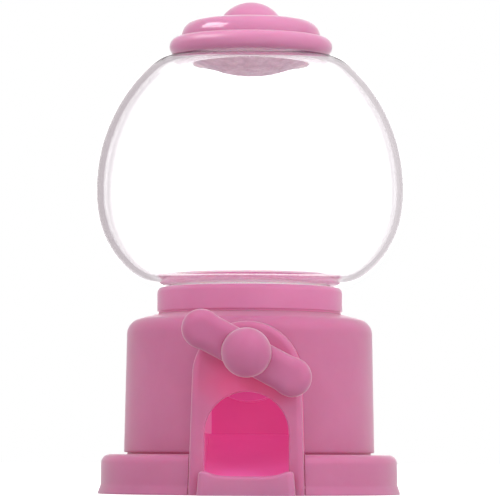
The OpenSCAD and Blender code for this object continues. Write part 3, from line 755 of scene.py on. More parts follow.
@dataclass
class Lid:
    """Lid of the globe: a cap with a full-round rim, a knob and a frosted plug."""

    rim_t: float = 4.8  # Thickness of the rim.
    dome_r: float = 18.5  # Radius of the dome.
    dome_edge: float = 4.9  # Radius of the dome's shoulder.
    dome_power: float = 2.35  # Power of the shoulder's curve, where 2 is a circle.
    dome_fall: float = 0.5  # How far the shoulder ends under the crown.
    crown_r: float = 7.9  # Radius of the flat top under the knob.
    crown_edge: float = 0.4  # Width of its edge.
    wall: float = 1.6  # Thickness of the cap.
    ring_r: float = 13.2  # Radius of the ring under the cap that holds the plug.
    ring_wall: float = 1.2  # Thickness of that ring.
    ring_z: float = 2.6  # Height of the ring's foot over the rim's.
    cavity_r: float = 16.2  # Radius of the hollow round the ring.
    knob_r: float = 9.4  # Radius of the knob's ball curve.
    stem_r: float = 2.5  # Radius of the knob's stem.
    stem_in: float = 2.4  # How far the stem goes into the cap.
    play: float = 0.1  # Play round the stem.
    plug_r: float = 14.9  # Radius of the plug.
    plug_bore: float = 13.35  # Radius of its bore.
    plug_wall: float = 1.2  # Thickness of its bottom.
    plug_dish: float = 4.0  # Depth of its bottom's curve.
    plug_edge: float = 0.3  # Width of the rounding round its bottom.
    plug_rise: float = 0.1  # Mean height of its uneven face over the ball.
    plug_wave: float = 0.045  # Height of the largest wave in that face.
    rim_r: float = field(init=False)  # Radius of the rim.
    rim_z: float = field(init=False)  # Height of the rim's foot.
    crown_z: float = field(init=False)  # Height of the dome's top.
    knob_h: float = field(init=False)  # Height of the knob over the dome.

    def __post_init__(self) -> None:
        """Reads the lid's radius and heights from the frame."""
        low, high = span("lid_cap")
        self.rim_r, self.rim_z, self.crown_z = high[0], low[2], high[2]
        self.knob_h = heights("lid_knob")[1] - self.crown_z

    def cap(self) -> bpy.types.Object:
        """The cap: a turned closed loop with the rim as a half circle and the dome's shoulder as an arc."""
        foot, dome_z, top = self.rim_z, self.rim_z + self.rim_t, self.crown_z
        round_r, hole, ceiling = self.rim_t / 2, self.stem_r + self.play, top - self.wall
        turn = np.linspace(-np.pi / 2, np.pi / 2, 25)
        rim = np.stack([self.rim_r - round_r * (1 - np.cos(turn)), foot + round_r * (1 + np.sin(turn))], axis=1)
        edge = np.radians(np.linspace(4, 86, 36))
        power = 2 / self.dome_power
        dome = np.stack([self.dome_r - self.dome_edge * (1 - np.cos(edge) ** power),
                         top - self.dome_fall - self.dome_edge * (1 - np.sin(edge) ** power)], axis=1)
        nook = fillet([(self.rim_r - round_r, dome_z, 0.0), (dome[0, 0] + 0.02, dome_z, 0.25), (*dome[0], 0.0)])
        crown = [[self.crown_r + self.crown_edge, top - 0.03], [self.crown_r, top], [hole, top]]
        over = np.vstack([nook[1:-1], dome, crown])
        inside, ring_foot = self.ring_r - self.ring_wall, foot + self.ring_z
        under = fillet([(hole, ceiling, 0.0), (inside, ceiling - 0.8, 0.3), (inside, ring_foot, 0.2),
                        (self.ring_r, ring_foot, 0.2), (self.ring_r, ceiling - 0.8, 0.3),
                        (self.cavity_r - 2.0, ceiling - 1.0, 0.4), (self.cavity_r, dome_z, 0.8),
                        (self.cavity_r, foot, 0.3), (self.rim_r - round_r, foot, 0.0)])
        return turned("lid_cap_moulding", np.vstack([rim, over, under]), closed=True)

    def knob(self) -> bpy.types.Object:
        """The knob: a ball's cap on a stem, turned from its pole to the stem's end."""
        centre = self.crown_z + self.knob_h - self.knob_r
        last = math.acos((self.knob_r - self.knob_h) / self.knob_r)
        turn = np.linspace(0, last, 30)
        ball = np.stack([self.knob_r * np.sin(turn), centre + self.knob_r * np.cos(turn)], axis=1)
        neck, end = self.crown_z + 0.02, self.crown_z - self.stem_in
        foot = fillet([(ball[-1, 0], neck, 0.0), (self.stem_r, neck, 0.2), (self.stem_r, end, 0.3), (0.0, end, 0.0)])
        return turned("lid_knob_ball", np.vstack([ball, foot]))

    def plug(self) -> bpy.types.Object:
        """The plug: a turned cup whose bottom is a shallow ball, with a slightly uneven frosted face.

        Three sine waves round the axis, which wind outwards, and a small rise make the face uneven. They fade
        out at the middle and at the edge.
        """
        rows, outer, bore, edge = 70, self.plug_r, self.plug_bore, self.plug_edge
        low, high = heights("lid_plug")
        ball = (outer**2 + self.plug_dish**2) / (2 * self.plug_dish)
        out, inn = np.linspace(0, outer - edge, rows), np.linspace(bore - edge, 0, 40)
        under = np.stack([out, low + ball - np.sqrt(ball**2 - out**2)], axis=1)
        upper = np.stack([inn, low + ball - np.sqrt((ball - self.plug_wall) ** 2 - inn**2)], axis=1)
        side = fillet([(*under[-1], 0.0), (outer, low + self.plug_dish + 0.2, edge), (outer, high, 0.2),
                       (bore, high, 0.2), (bore, upper[0, 1] + edge, 0.2), (*upper[0], 0.0)])
        grid = spin(np.vstack([under, side[1:-1], upper]), segments=240)
        face = grid[:rows]
        angle = np.arctan2(face[..., 0], -face[..., 1])
        radius = np.linalg.norm(face[..., :2], axis=2) / MM
        middle, border = 3.0, 2.0
        fade = np.clip(radius / middle, 0, 1) * np.clip((outer - radius) / border, 0, 1)
        waves = ((1.0, 9, 1.3), (0.7, 23, -2.1), (0.6, 41, 3.7))
        ripple = sum(height * np.sin(count * angle + wind * radius) for height, count, wind in waves)
        face[..., 2] += (self.plug_rise + self.plug_wave * ripple) * fade * MM
        return Moulding("lid_plug_frosted").add(grid, False, True).make()

    def build(self) -> None:
        """Makes and places the three pieces of the lid."""
        pink = replace(LID_PINK, level=(self.rim_z + self.rim_t) * MM)
        place(self.cap(), Body.LID, Slot.PINK, pink, ["lid_cap"])
        place(self.knob(), Body.LID, Slot.PINK, pink, ["lid_knob"])
        place(self.plug(), Body.LID, Slot.FROSTED, FROSTED, ["lid_plug"])


@dataclass
class Globe:
    """Clear globe: a flattened ellipse above its widest place, a squarer oval below, and a neck."""

    up: float = 43.5  # Height of the upper ellipse.
    down: float = 31.2  # Depth of the lower oval.
    top: float = 35.6  # Height of the flat top over the widest place.
    bottom: float = 25.8  # Depth of the flat bottom under it.
    top_power: float = 40  # Sharpness of the way into the flat top.
    bottom_power: float = 20  # Sharpness of the way into the flat bottom.
    oval: float = 2.3  # Power of the lower oval.
    wall: float = 1.8  # Thickness.
    lip: float = 0.6  # Radius of the lip's edges.
    mouth_r: float = 15.3  # Radius of the mouth.
    neck_r: float = 21.0  # Radius of the neck.
    radius: float = field(init=False)  # Radius at the widest place.
    foot: float = field(init=False)  # Height of the neck's end.
    widest: float = field(init=False)  # Height of the widest place.

    def __post_init__(self) -> None:
        """Reads the globe's radius and heights from the frame."""
        low, high = span("globe")
        self.radius, self.foot, self.widest = high[0], low[2], high[2] - self.top

    @staticmethod
    def limit(height: np.ndarray, most: float, power: float) -> np.ndarray:
        """Smooth minimum of height and most: most * (1 + (most / height) ** power) ** (-1 / power)."""
        least = 0.01
        return most * (1 + (most / np.maximum(height, least)) ** power) ** (-1 / power)

    def skin(self, inset: float) -> np.ndarray:
        """One skin of the globe, from the mouth down to the neck.

        Above, the height is up * sin(a) at radius * cos(a), limited smoothly by the flat top. Below, sin and
        cos carry the oval's power, and the flat bottom is the limit.

        Args:
            inset: Distance inside the outer skin.

        Returns:
            Points (n, 2) in millimetres.
        """
        r, power = self.radius - inset, 2 / self.oval
        a = np.linspace(math.acos((self.mouth_r + 1.2 * self.lip) / r), 0, 90)
        height = self.limit((self.up - inset) * np.sin(a), self.top - inset, self.top_power)
        over = np.stack([r * np.cos(a), self.widest + height], axis=1)
        a = np.linspace(0, math.acos(((self.neck_r - inset) / r) ** (1 / power)), 90)[1:]
        depth = self.limit((self.down - inset) * np.sin(a) ** power, self.bottom - inset, self.bottom_power)
        return np.vstack([over, np.stack([r * np.cos(a) ** power, self.widest - depth], axis=1)])

    def build(self) -> None:
        """Makes the globe as one closed loop: the outer skin, the neck, the inner skin and the mouth's lip."""
        outer, inner = self.skin(0.0), self.skin(self.wall)[::-1]
        bore, step, edge = self.neck_r - self.wall, 0.5, 0.3
        neck = fillet([(*outer[-1], 0.0), (self.neck_r, outer[-1, 1] - step, edge), (self.neck_r, self.foot, edge),
                       (bore, self.foot, edge), (bore, inner[0, 1] - step, edge), (*inner[0], 0.0)])
        lip = fillet([(*inner[-1], 0.0), (self.mouth_r, inner[-1, 1], self.lip),
                      (self.mouth_r, outer[0, 1], self.lip), (*outer[0], 0.0)])
        loop = np.vstack([outer, neck[1:-1], inner, lip[1:-1]])
        globe = turned("clear_globe_bowl", loop, closed=True, segments=192, merge=1e-6)
        place(globe, Body.BASE, Slot.CLEAR, CLEAR, ["globe"])
        # The neck's bore and the mouth's lip take a pale matt edge with painted glow: painted light where they would
        # be dark.
        line_inside(globe, GLOWING_MATT_EDGE, bore + 0.1)


@dataclass
class NeckSet:
    """Collar round the globe's neck and the funnel inside it."""

    collar_r: float = 24.5  # Outer radius of the collar.
    collar_edge: float = 2.4  # Radius of its top edge.
    collar_in: float = 21.25  # Bore that takes the globe's neck.
    seat: float = 1.6  # Height of the collar's seat on the body over its foot.
    ledge: float = 3.0  # Height of the ledge under the funnel over the collar's foot.
    ledge_r: float = 19.6  # Bore of that ledge.
    foot_r: float = 21.5  # Radius of the foot that drops into the body.
    seam: float = 0.5  # Height of the shadow gap under the collar.
    seam_in: float = 0.45  # Depth of that gap.
    throat: float = 7.0  # Radius of the funnel's throat.
    throat_h: float = 1.4  # Height of the throat's straight part.
    wall: float = 1.4  # Thickness of the funnel.
    brim: float = 18.6  # Radius of its brim.
    brim_wall: float = 1.2  # Thickness of the brim.
    brim_drop: float = 1.4  # How far the brim lies under the CAD funnel's top.
    flange: float = 20.9  # Radius of its flange.
    flange_t: float = 1.2  # Thickness of its flange.
    post_x: float = 13.2  # Distance of its screw posts from the axis.
    post_r: float = 2.1  # Radius of a post.
    post_h: float = 3.6  # Height of a post.
    pilot_r: float = 0.92  # Radius of the screw's hole in a post.
    pilot_h: float = 3.2  # Depth of that hole.

    def collar(self) -> bpy.types.Object:
        """The collar: a turned closed loop with a round top edge, a ledge inside and a foot."""
        low, high = heights("globe_collar")
        seat, ledge, shade = low + self.seat, low + self.ledge, self.collar_r - self.seam_in
        loop = fillet([(self.ledge_r, low, 0.0), (self.foot_r, low, 0.1), (self.foot_r, seat, 0.0),
                       (shade, seat, 0.0), (shade, seat + self.seam, 0.1), (self.collar_r, seat + self.seam, 0.35),
                       (self.collar_r, high, self.collar_edge), (self.collar_in, high, 0.35),
                       (self.collar_in, ledge, 0.1), (self.ledge_r, ledge, 0.1), (self.ledge_r, low, 0.0)], steps=10)
        return turned("globe_collar_ring", loop[:-1], closed=True)

    def funnel(self) -> bpy.types.Object:
        """The funnel: a turned closed loop with a round brim, a sloping dish and a straight throat."""
        low, high = heights("hopper")
        high -= self.brim_drop
        ledge = heights("globe_collar")[0] + self.ledge
        outside, brim, under = self.throat + self.wall, self.brim, self.brim - self.brim_wall
        top = ledge + self.flange_t
        loop = fillet([(self.throat, low, 0.0), (self.throat, low + self.throat_h, 1.2), (brim - 1.3, high, 0.7),
                       (brim, high, 0.6), (brim, top, 0.3), (self.flange, top, 0.2),
                       (self.flange, ledge, 0.2), (under, ledge, 0.2), (under, high - 2.6, 0.6),
                       (outside, low + 0.8, 0.6), (outside, low, 0.1), (self.throat, low, 0.0)])
        dish = Moulding("hopper_funnel").add(spin(loop[:-1]), True, True)
        top = low + self.post_h
        post = fillet([(self.pilot_r, low, 0.0), (self.post_r, low, 0.1), (self.post_r, top, 0.1), (0.0, top, 0.0)])
        pilot = [(0.0, low + self.pilot_h), (self.pilot_r, low + self.pilot_h), (self.pilot_r, low)]
        for side in (-1, 1):
            grid = spin(np.vstack([post, pilot]), segments=32)
            grid[:, :, 0] += side * self.post_x * MM
            dish.add(grid, False, True)
        return dish.make()

    def build(self) -> None:
        """Makes and places the collar and the funnel."""
        place(self.collar(), Body.BASE, Slot.PINK, NECK_PINK, ["globe_collar"])
        place(self.funnel(), Body.BASE, Slot.PINK, NECK_PINK, ["hopper"])


def arch_line(half: float, radius: float, centre: float) -> np.ndarray:
    """An arch from its left foot, up a straight side and over a half circle, to its right foot.

    Args:
        half: Half its width at height 0.
        radius: Radius of its top.
        centre: Height of the half circle's centre.

    Returns:
        Points (n, 2) of x and z in millimetres.
    """
    rise = np.linspace(0, 1, 25)[:, None]
    left = np.array([[-half, 0.0]]) * (1 - rise) + np.array([[-radius, centre]]) * rise
    turn = np.linspace(np.pi, 0, 73)[1:-1, None]
    top = np.hstack([radius * np.cos(turn), centre + radius * np.sin(turn)])
    return np.vstack([left, top, left[::-1] * np.array([[-1, 1]])])


def at_depth(line: np.ndarray, y: float) -> np.ndarray:
    """Points (x, z) of a line set at depth y, as (x, y, z)."""
    return np.insert(line, 1, y, axis=1)


def slab(first: np.ndarray, last: np.ndarray) -> bpy.types.Object:
    """Makes a closed solid whose sides run straight from one ring of four corners to another.

    Args:
        first: Corners (4, 3) of one ring, in millimetres.
        last: Corners of the other.

    Returns:
        The new object.
    """
    skin = np.stack([first, last]) * MM
    middle = np.repeat(skin.mean(axis=1, keepdims=True), 4, axis=1)
    return Moulding("slab").add(np.concatenate([middle[:1], skin, middle[1:]]), False, True).make(sharp=20)


def rod(name: str, radius: float, first: float, last: float, segments: int) -> bpy.types.Object:
    """Round bar of a radius on the shaft's line, between two depths, all in millimetres."""
    profile = [(0.0, first), (radius, first), (radius, last), (0.0, last)]
    return turned(name, profile, axis=Axis.SHAFT, height=shaft_height(), segments=segments)


def block(low: Corner, high: Corner) -> bpy.types.Object:
    """Closed box between two corners in millimetres."""
    ring = np.array([[low[0], low[1]], [high[0], low[1]], [high[0], high[1]], [low[0], high[1]]])
    return slab(np.insert(ring, 2, low[2], axis=1), np.insert(ring, 2, high[2], axis=1))


@dataclass
class FrontSet:
    """Arched front housing and the tray at its outlet."""

    arch_r: float = 13.9  # Radius of the housing's arched top.
    flare: float = 0.9  # How much wider it is at the floor, on each side.
    edge: float = 1.8  # Radius of its front edge.
    wall: float = 1.8  # Thickness.
    depth: float = 11.5  # Depth from its face to its back edge.
    boss_r: float = 5.4  # Radius of the bearing behind the face.
    boss_in: float = 4.0  # Depth of the bearing.
    bore_r: float = 3.06  # Radius of the shaft's bore.
    outlet_r: float = 10.7  # Radius of the outlet's arch.
    outlet_z: float = 15.6  # Height of the outlet arch's centre.
    rim: float = 0.4  # Radius of the outlet's edge.
    sill: float = 1.8  # Height of the outlet's sill.
    gap: float = 0.2  # Gap between the housing and the body.
    lip_mid: float = 4.9  # Height of the middle of the tray's lip.
    lip_wall: float = 1.5  # Thickness of the lip.
    lip_edge: float = 0.9  # Radius of the outer side of its top.
    corner: float = 1.9  # Radius of the tray's corners.
    draft: float = 0.5  # How far the lip's ends lean in at the top.
    floor: tuple[float, float] = (1.6, 2.9)  # Heights of the underside and the top of the tray's floor.
    tongue: float = 3.8  # How far the floor goes in through the outlet.
    face_y: float = field(init=False)  # Depth of the housing's face.
    arch_z: float = field(init=False)  # Height of the arch's centre.
    half_foot: float = field(init=False)  # Half the housing's width at the floor.
    tray_half: float = field(init=False)  # Half the tray's width at the floor.
    lip_corner: float = field(init=False)  # Height of the lip's ends.

    def __post_init__(self) -> None:
        """Reads the housing's and the tray's places and widths from the frame."""
        low, high = span("front_housing")
        self.face_y, self.arch_z = low[1], high[2] - self.arch_r
        self.half_foot = self.arch_r + self.flare
        _, high = span("outlet_tray")
        self.tray_half, self.lip_corner = high[0], high[2]

    def half_width(self, z: np.ndarray) -> np.ndarray:
        """Half the width of the body's opening: tapering sides under a half circle.

        Args:
            z: Heights.

        Returns:
            Half the width at each height.
        """
        side = self.half_foot + (self.arch_r - self.half_foot) * z / self.arch_z + self.gap
        arch = np.sqrt(np.clip((self.arch_r + self.gap) ** 2 - (z - self.arch_z) ** 2, 0, None))
        return np.where(z < self.arch_z, side, arch)

    def outline(self, inset: float) -> np.ndarray:
        """The housing's outline drawn in by inset."""
        return arch_line(self.half_foot - inset, self.arch_r - inset, self.arch_z)

    def window(self, grow: float = 0.0) -> np.ndarray:
        """The outlet's outline, grown by grow."""
        return arch_line(self.outlet_r + grow, self.outlet_r + grow, self.outlet_z)

    def housing(self) -> bpy.types.Object:
        """The housing: its wall's section carried over the arch, with the sill, the bearing and the bore."""
        front, back, inner = self.face_y, self.face_y + self.depth, self.face_y + self.wall
        straight, overlap, past, segments = 0.3, 0.5, 3, 64
        rows = [at_depth(self.outline(0), back), at_depth(self.outline(0), front + self.edge + straight)]
        for turn in np.linspace(0, np.pi / 2, 10):
            inset = self.edge * (1 - math.cos(turn))
            rows.append(at_depth(self.outline(inset), front + self.edge * (1 - math.sin(turn))))
        for share in (0.06, 0.5, 0.94):
            rows.append(at_depth(self.outline(self.edge) * (1 - share) + self.window(self.rim) * share, front))
        for turn in np.linspace(0, np.pi / 2, 6):
            grow = self.rim * (1 - math.sin(turn))
            rows.append(at_depth(self.window(grow), front + self.rim * (1 - math.cos(turn))))
        rows += [at_depth(self.window(), inner), at_depth(self.outline(self.wall), inner),
                 at_depth(self.outline(self.wall), back)]
        made = Moulding("front_housing_arch").add(np.stack(rows) * MM, wrap_rows=True).make(fill=True)
        reach = self.half_foot + past
        carve(made, block((-reach, inner, -1.0), (reach, back + 1, self.sill + self.gap)))
        wide = self.outlet_r + 0.6
        carve(made, block((-wide, front, 0.0), (wide, inner, self.sill)), "UNION")
        carve(made, rod("boss", self.boss_r, inner - overlap, inner + self.boss_in, segments), "UNION")
        carve(made, rod("bore", self.bore_r, front - past, front + 9, segments))
        return made

    def tray_path(self, inset: float) -> np.ndarray:
        """Plan of the tray's lip, from its left end round the front to its right end.

        Args:
            inset: How far it is drawn in.

        Returns:
            Points (n, 2) of x and y in millimetres.
        """
        half, front = self.tray_half - inset, span("outlet_tray")[0][1] + inset
        turn = np.linspace(0, np.pi / 2, 13)[:, None]
        radius = max(self.corner - inset, 0.3)
        bend = np.hstack([-half + radius * (1 - np.cos(turn)), front + radius * (1 - np.sin(turn))])
        side = np.linspace(0, 1, 9)[:-1, None]
        left = np.array([[-half, self.face_y]]) * (1 - side) + bend[:1] * side
        middle = np.linspace(bend[-1, 0], 0, 25)[1:]
        run = np.vstack([left, bend, np.stack([middle, np.full(24, front)], axis=1)])
        return np.vstack([run, run[-2::-1] * np.array([[-1, 1]])])

    def tray(self) -> bpy.types.Object:
        """The tray: a lip with a round top carried round a U-shaped path, a floor and a tongue.

        The lip's height goes from its middle to its ends by the fourth power of the distance from the middle.
        """
        front, back, half, inside = span("outlet_tray")[0][1], self.face_y, self.tray_half, 0.9
        ear = np.clip(np.abs(self.tray_path(0.0)[:, 0]) / (half - self.corner), 0, 1)
        height = self.lip_mid + (self.lip_corner - self.lip_mid) * ear**4
        rows = []
        for inset, drop in self.lip_section():
            plan = self.tray_path(inset)
            level = np.where(drop < 0, height + drop, drop)
            lean = 1 - self.draft / half * np.clip(level / self.lip_corner, 0, 1)
            rows.append(np.stack([plan[:, 0] * lean, plan[:, 1], level], axis=1))
        made = Moulding("outlet_tray_lip").add(np.stack(rows) * MM, wrap_rows=True).make(fill=True)
        low, top = self.floor
        carve(made, block((-half + inside, front + inside, low), (half - inside, back - 0.02, top)), "UNION")
        wide = self.outlet_r - self.gap
        carve(made, block((-wide, back - 0.4, low + 0.4), (wide, back + self.tongue, top)), "UNION")
        return made

    def lip_section(self) -> list[tuple[float, float]]:
        """Section of the lip: distance in from its outer face, and height, or depth under the top if negative."""
        outer, inner, least = self.lip_edge, self.lip_wall - self.lip_edge, 1e-6
        section = [(0.0, 0.0), (0.0, 0.3), (0.0, -outer - 0.4)]
        for turn in np.linspace(0, np.pi / 2, 7):
            section.append((outer * (1 - math.cos(turn)), -outer * (1 - math.sin(turn)) - least))
        for turn in np.linspace(0, np.pi / 2, 6)[1:]:
            section.append((outer + inner * math.sin(turn), -inner * (1 - math.cos(turn)) - least))
        return section + [(self.lip_wall, -outer - 0.4), (self.lip_wall, 1.2), (self.lip_wall, 0.0)]

    def build(self) -> None:
        """Makes and places the housing and the tray."""
        place(self.housing(), Body.BASE, Slot.PINK, FRONT_PINK, ["front_housing"])
        place(self.tray(), Body.BASE, Slot.PINK, TRAY_PINK, ["outlet_tray"])


@dataclass
class Chute:
    """Chute from the drum to the tray: two sides, a sloping floor and a tall back with rounded edges."""

    wall: float = 1.4  # Thickness.
    side_z: float = 15.9  # Height of the sides.
    floor_z: float = 3.3  # Height of the floor's front end.
    back_half: float = 10.3  # Half the back's width.
    back_rise: float = 2.4  # How far the back stands up behind the drum's lowest place.
    edge: float = 0.3  # Width of the rounded edges.

    def build(self) -> None:
        """Joins the walls and places the chute."""
        (_, front, foot), (half, back, end) = span("candy_chute")
        inner, rear, overlap = half - self.wall, back - self.wall, 0.5
        made = block((-half, front, foot), (-inner, back, self.side_z))
        carve(made, block((inner, front, foot), (half, back, self.side_z)), "UNION")
        line = np.array([[front, self.floor_z], [rear + overlap, self.side_z - self.wall],
                         [rear + overlap, self.side_z], [front, self.floor_z + self.wall]])
        across = inner + overlap
        carve(made, slab(*(np.insert(line, 0, x, axis=1) for x in (-across, across))), "UNION")
        carve(made, block((-across, rear, foot), (across, back, self.side_z)), "UNION")
        top = end + self.back_rise
        carve(made, block((-self.back_half, rear, self.side_z - 1), (self.back_half, back, top)), "UNION")
        made.name = "candy_chute_walls"
        soft = made.modifiers.new("edges", "BEVEL")
        soft.width, soft.segments, soft.limit_method = self.edge * MM, 3, "ANGLE"
        place(made, Body.BASE, Slot.HOT_PINK, HOT_PINK, ["candy_chute"])


@dataclass
class BodySet:
    """Tapered drum of the body and the wide flange under it, both open at the front."""

    opening: Callable[[np.ndarray], np.ndarray]  # Half the opening's width at given heights.
    arch_top: float  # Height of the top of the opening.
    arch_z: float  # Height of the centre of its half circle.
    body_r: float = 33.0  # Radius of the drum's foot.
    top_r: float = 32.4  # Radius under the shoulder.
    shoulder: float = 4.2  # Radius of the shoulder's corner.
    rise: float = 5.53  # Height of the corner's centre under the top.
    sweep: float = 74.0  # Angle of the corner in degrees.
    deck: float = 23.7  # Radius where the flat top begins.
    wall: float = 1.8  # Thickness.
    seam: float = 0.5  # Height of the shadow gap over the flange.
    seam_in: float = 0.9  # Depth of that gap.
    hole: float = 21.7  # Radius of the hole for the collar.
    flange_r: float = 39.0  # Radius of the flange.
    flange_edge: float = 2.4  # Radius of its top edge.
    flange_in: float = 37.2  # Radius inside the flange's wall.
    foot_out: float = 0.8  # How far its flared foot stands out.
    foot_h: float = 2.4  # Height of the flare.
    ring_r: float = 31.2  # Radius of the hole in its top.

    def wrap(self, profile: np.ndarray, columns: int = 144) -> np.ndarray:
        """Skin of revolution that starts and ends at the opening.

        Each row starts at the angle whose sine is the opening's half width over the row's radius.

        Args:
            profile: (radius, height) in millimetres.
            columns: Points along each row.

        Returns:
            Grid (rows, columns, 3) in metres.
        """
        r, z = profile[:, 0], profile[:, 1]
        start = np.arcsin(np.clip(self.opening(z) / r, 0, 1))[:, None]
        turn = start + (2 * np.pi - 2 * start) * np.linspace(0, 1, columns)[None, :]
        return np.stack([r[:, None] * np.sin(turn), -r[:, None] * np.cos(turn), np.repeat(z[:, None], columns, 1)],
                        axis=-1) * MM

    def side(self, inset: float) -> np.ndarray:
        """Line of the drum from its foot over the shoulder to the hole.

        Args:
            inset: How far it is drawn in.

        Returns:
            Points (n, 2) in millimetres.
        """
        top, low = heights("body_shell")[1], heights("base_flange")[1] + self.seam
        turn = np.radians(np.linspace(0, self.sweep, 22))
        radius = self.shoulder - inset
        arc = np.stack([self.top_r - self.shoulder + radius * np.cos(turn),
                        top - self.rise + radius * np.sin(turn)], axis=1)
        flat = [[self.deck + inset, top - inset], [self.hole, top - inset]]
        return np.vstack([[[self.body_r - inset, low]], arc, flat])

    def drum(self) -> bpy.types.Object:
        """The drum: outer and inner skins with the same rows up to the arch's top, closed at every edge."""
        foot = heights("base_flange")[1]
        low = foot + self.seam
        arch = np.sin(np.linspace(0, np.pi / 2, 41)[1:])
        levels = np.concatenate([np.linspace(low + 0.35, self.arch_z, 26),
                                 self.arch_z + (self.arch_top - self.arch_z) * arch])
        skins = []
        for inset in (0.0, self.wall):
            line = self.side(inset)
            rising = line[:-1]
            lower = np.stack([np.interp(levels, rising[:, 1], rising[:, 0]), levels], axis=1)
            above = rising[rising[:, 1] > self.arch_top + 1e-6]
            upper = resample(np.vstack([lower[-1:], above, line[-1:]]), np.linspace(0, 1, 26))[1:]
            skins.append(np.vstack([lower, upper]))
        step, wide = self.body_r - self.seam_in, self.body_r
        edge = np.array([[step, foot], [step, low - 0.02], [wide - 0.3, low], [wide - 0.08, low + 0.08]])
        inset = np.array([[step - self.wall, z] for z in edge[:, 1]])
        outer, inner = np.vstack([edge, skins[0]]), np.vstack([inset, skins[1]])
        return Moulding("body_drum").shell(self.wrap(outer), self.wrap(inner), slice(0, 4 + len(levels))).make()

    def flange(self) -> bpy.types.Object:
        """The flange: a flared foot, a short wall with a round top edge and a ring up to the drum."""
        top = heights("base_flange")[1]
        r, under = self.flange_r, top - self.wall
        wide = r + self.foot_out
        outer = fillet([(wide, 0.0, 0.0), (wide, 0.45, 0.25), (r + 0.1, self.foot_h, 2.0),
                        (r, top, self.flange_edge), (self.ring_r, top, 0.0)], steps=12, support=0.3)
        inner = resample(np.array([(self.flange_in, 0.0), (self.flange_in, under), (self.ring_r, under)]),
                         np.linspace(0, 1, len(outer)))
        return Moulding("base_flange_skirt").shell(self.wrap(outer), self.wrap(inner)).make()

    def build(self) -> None:
        """Makes and places the drum and the flange."""
        drum = self.drum()
        place(drum, Body.BASE, Slot.PINK, PINK, ["body_shell"])
        # The inner faces take lit_pink: painted light inside the drum, for light through its thin wall.
        line_inside(drum, LIT_PINK)
        place(self.flange(), Body.BASE, Slot.PINK, PINK, ["base_flange"])


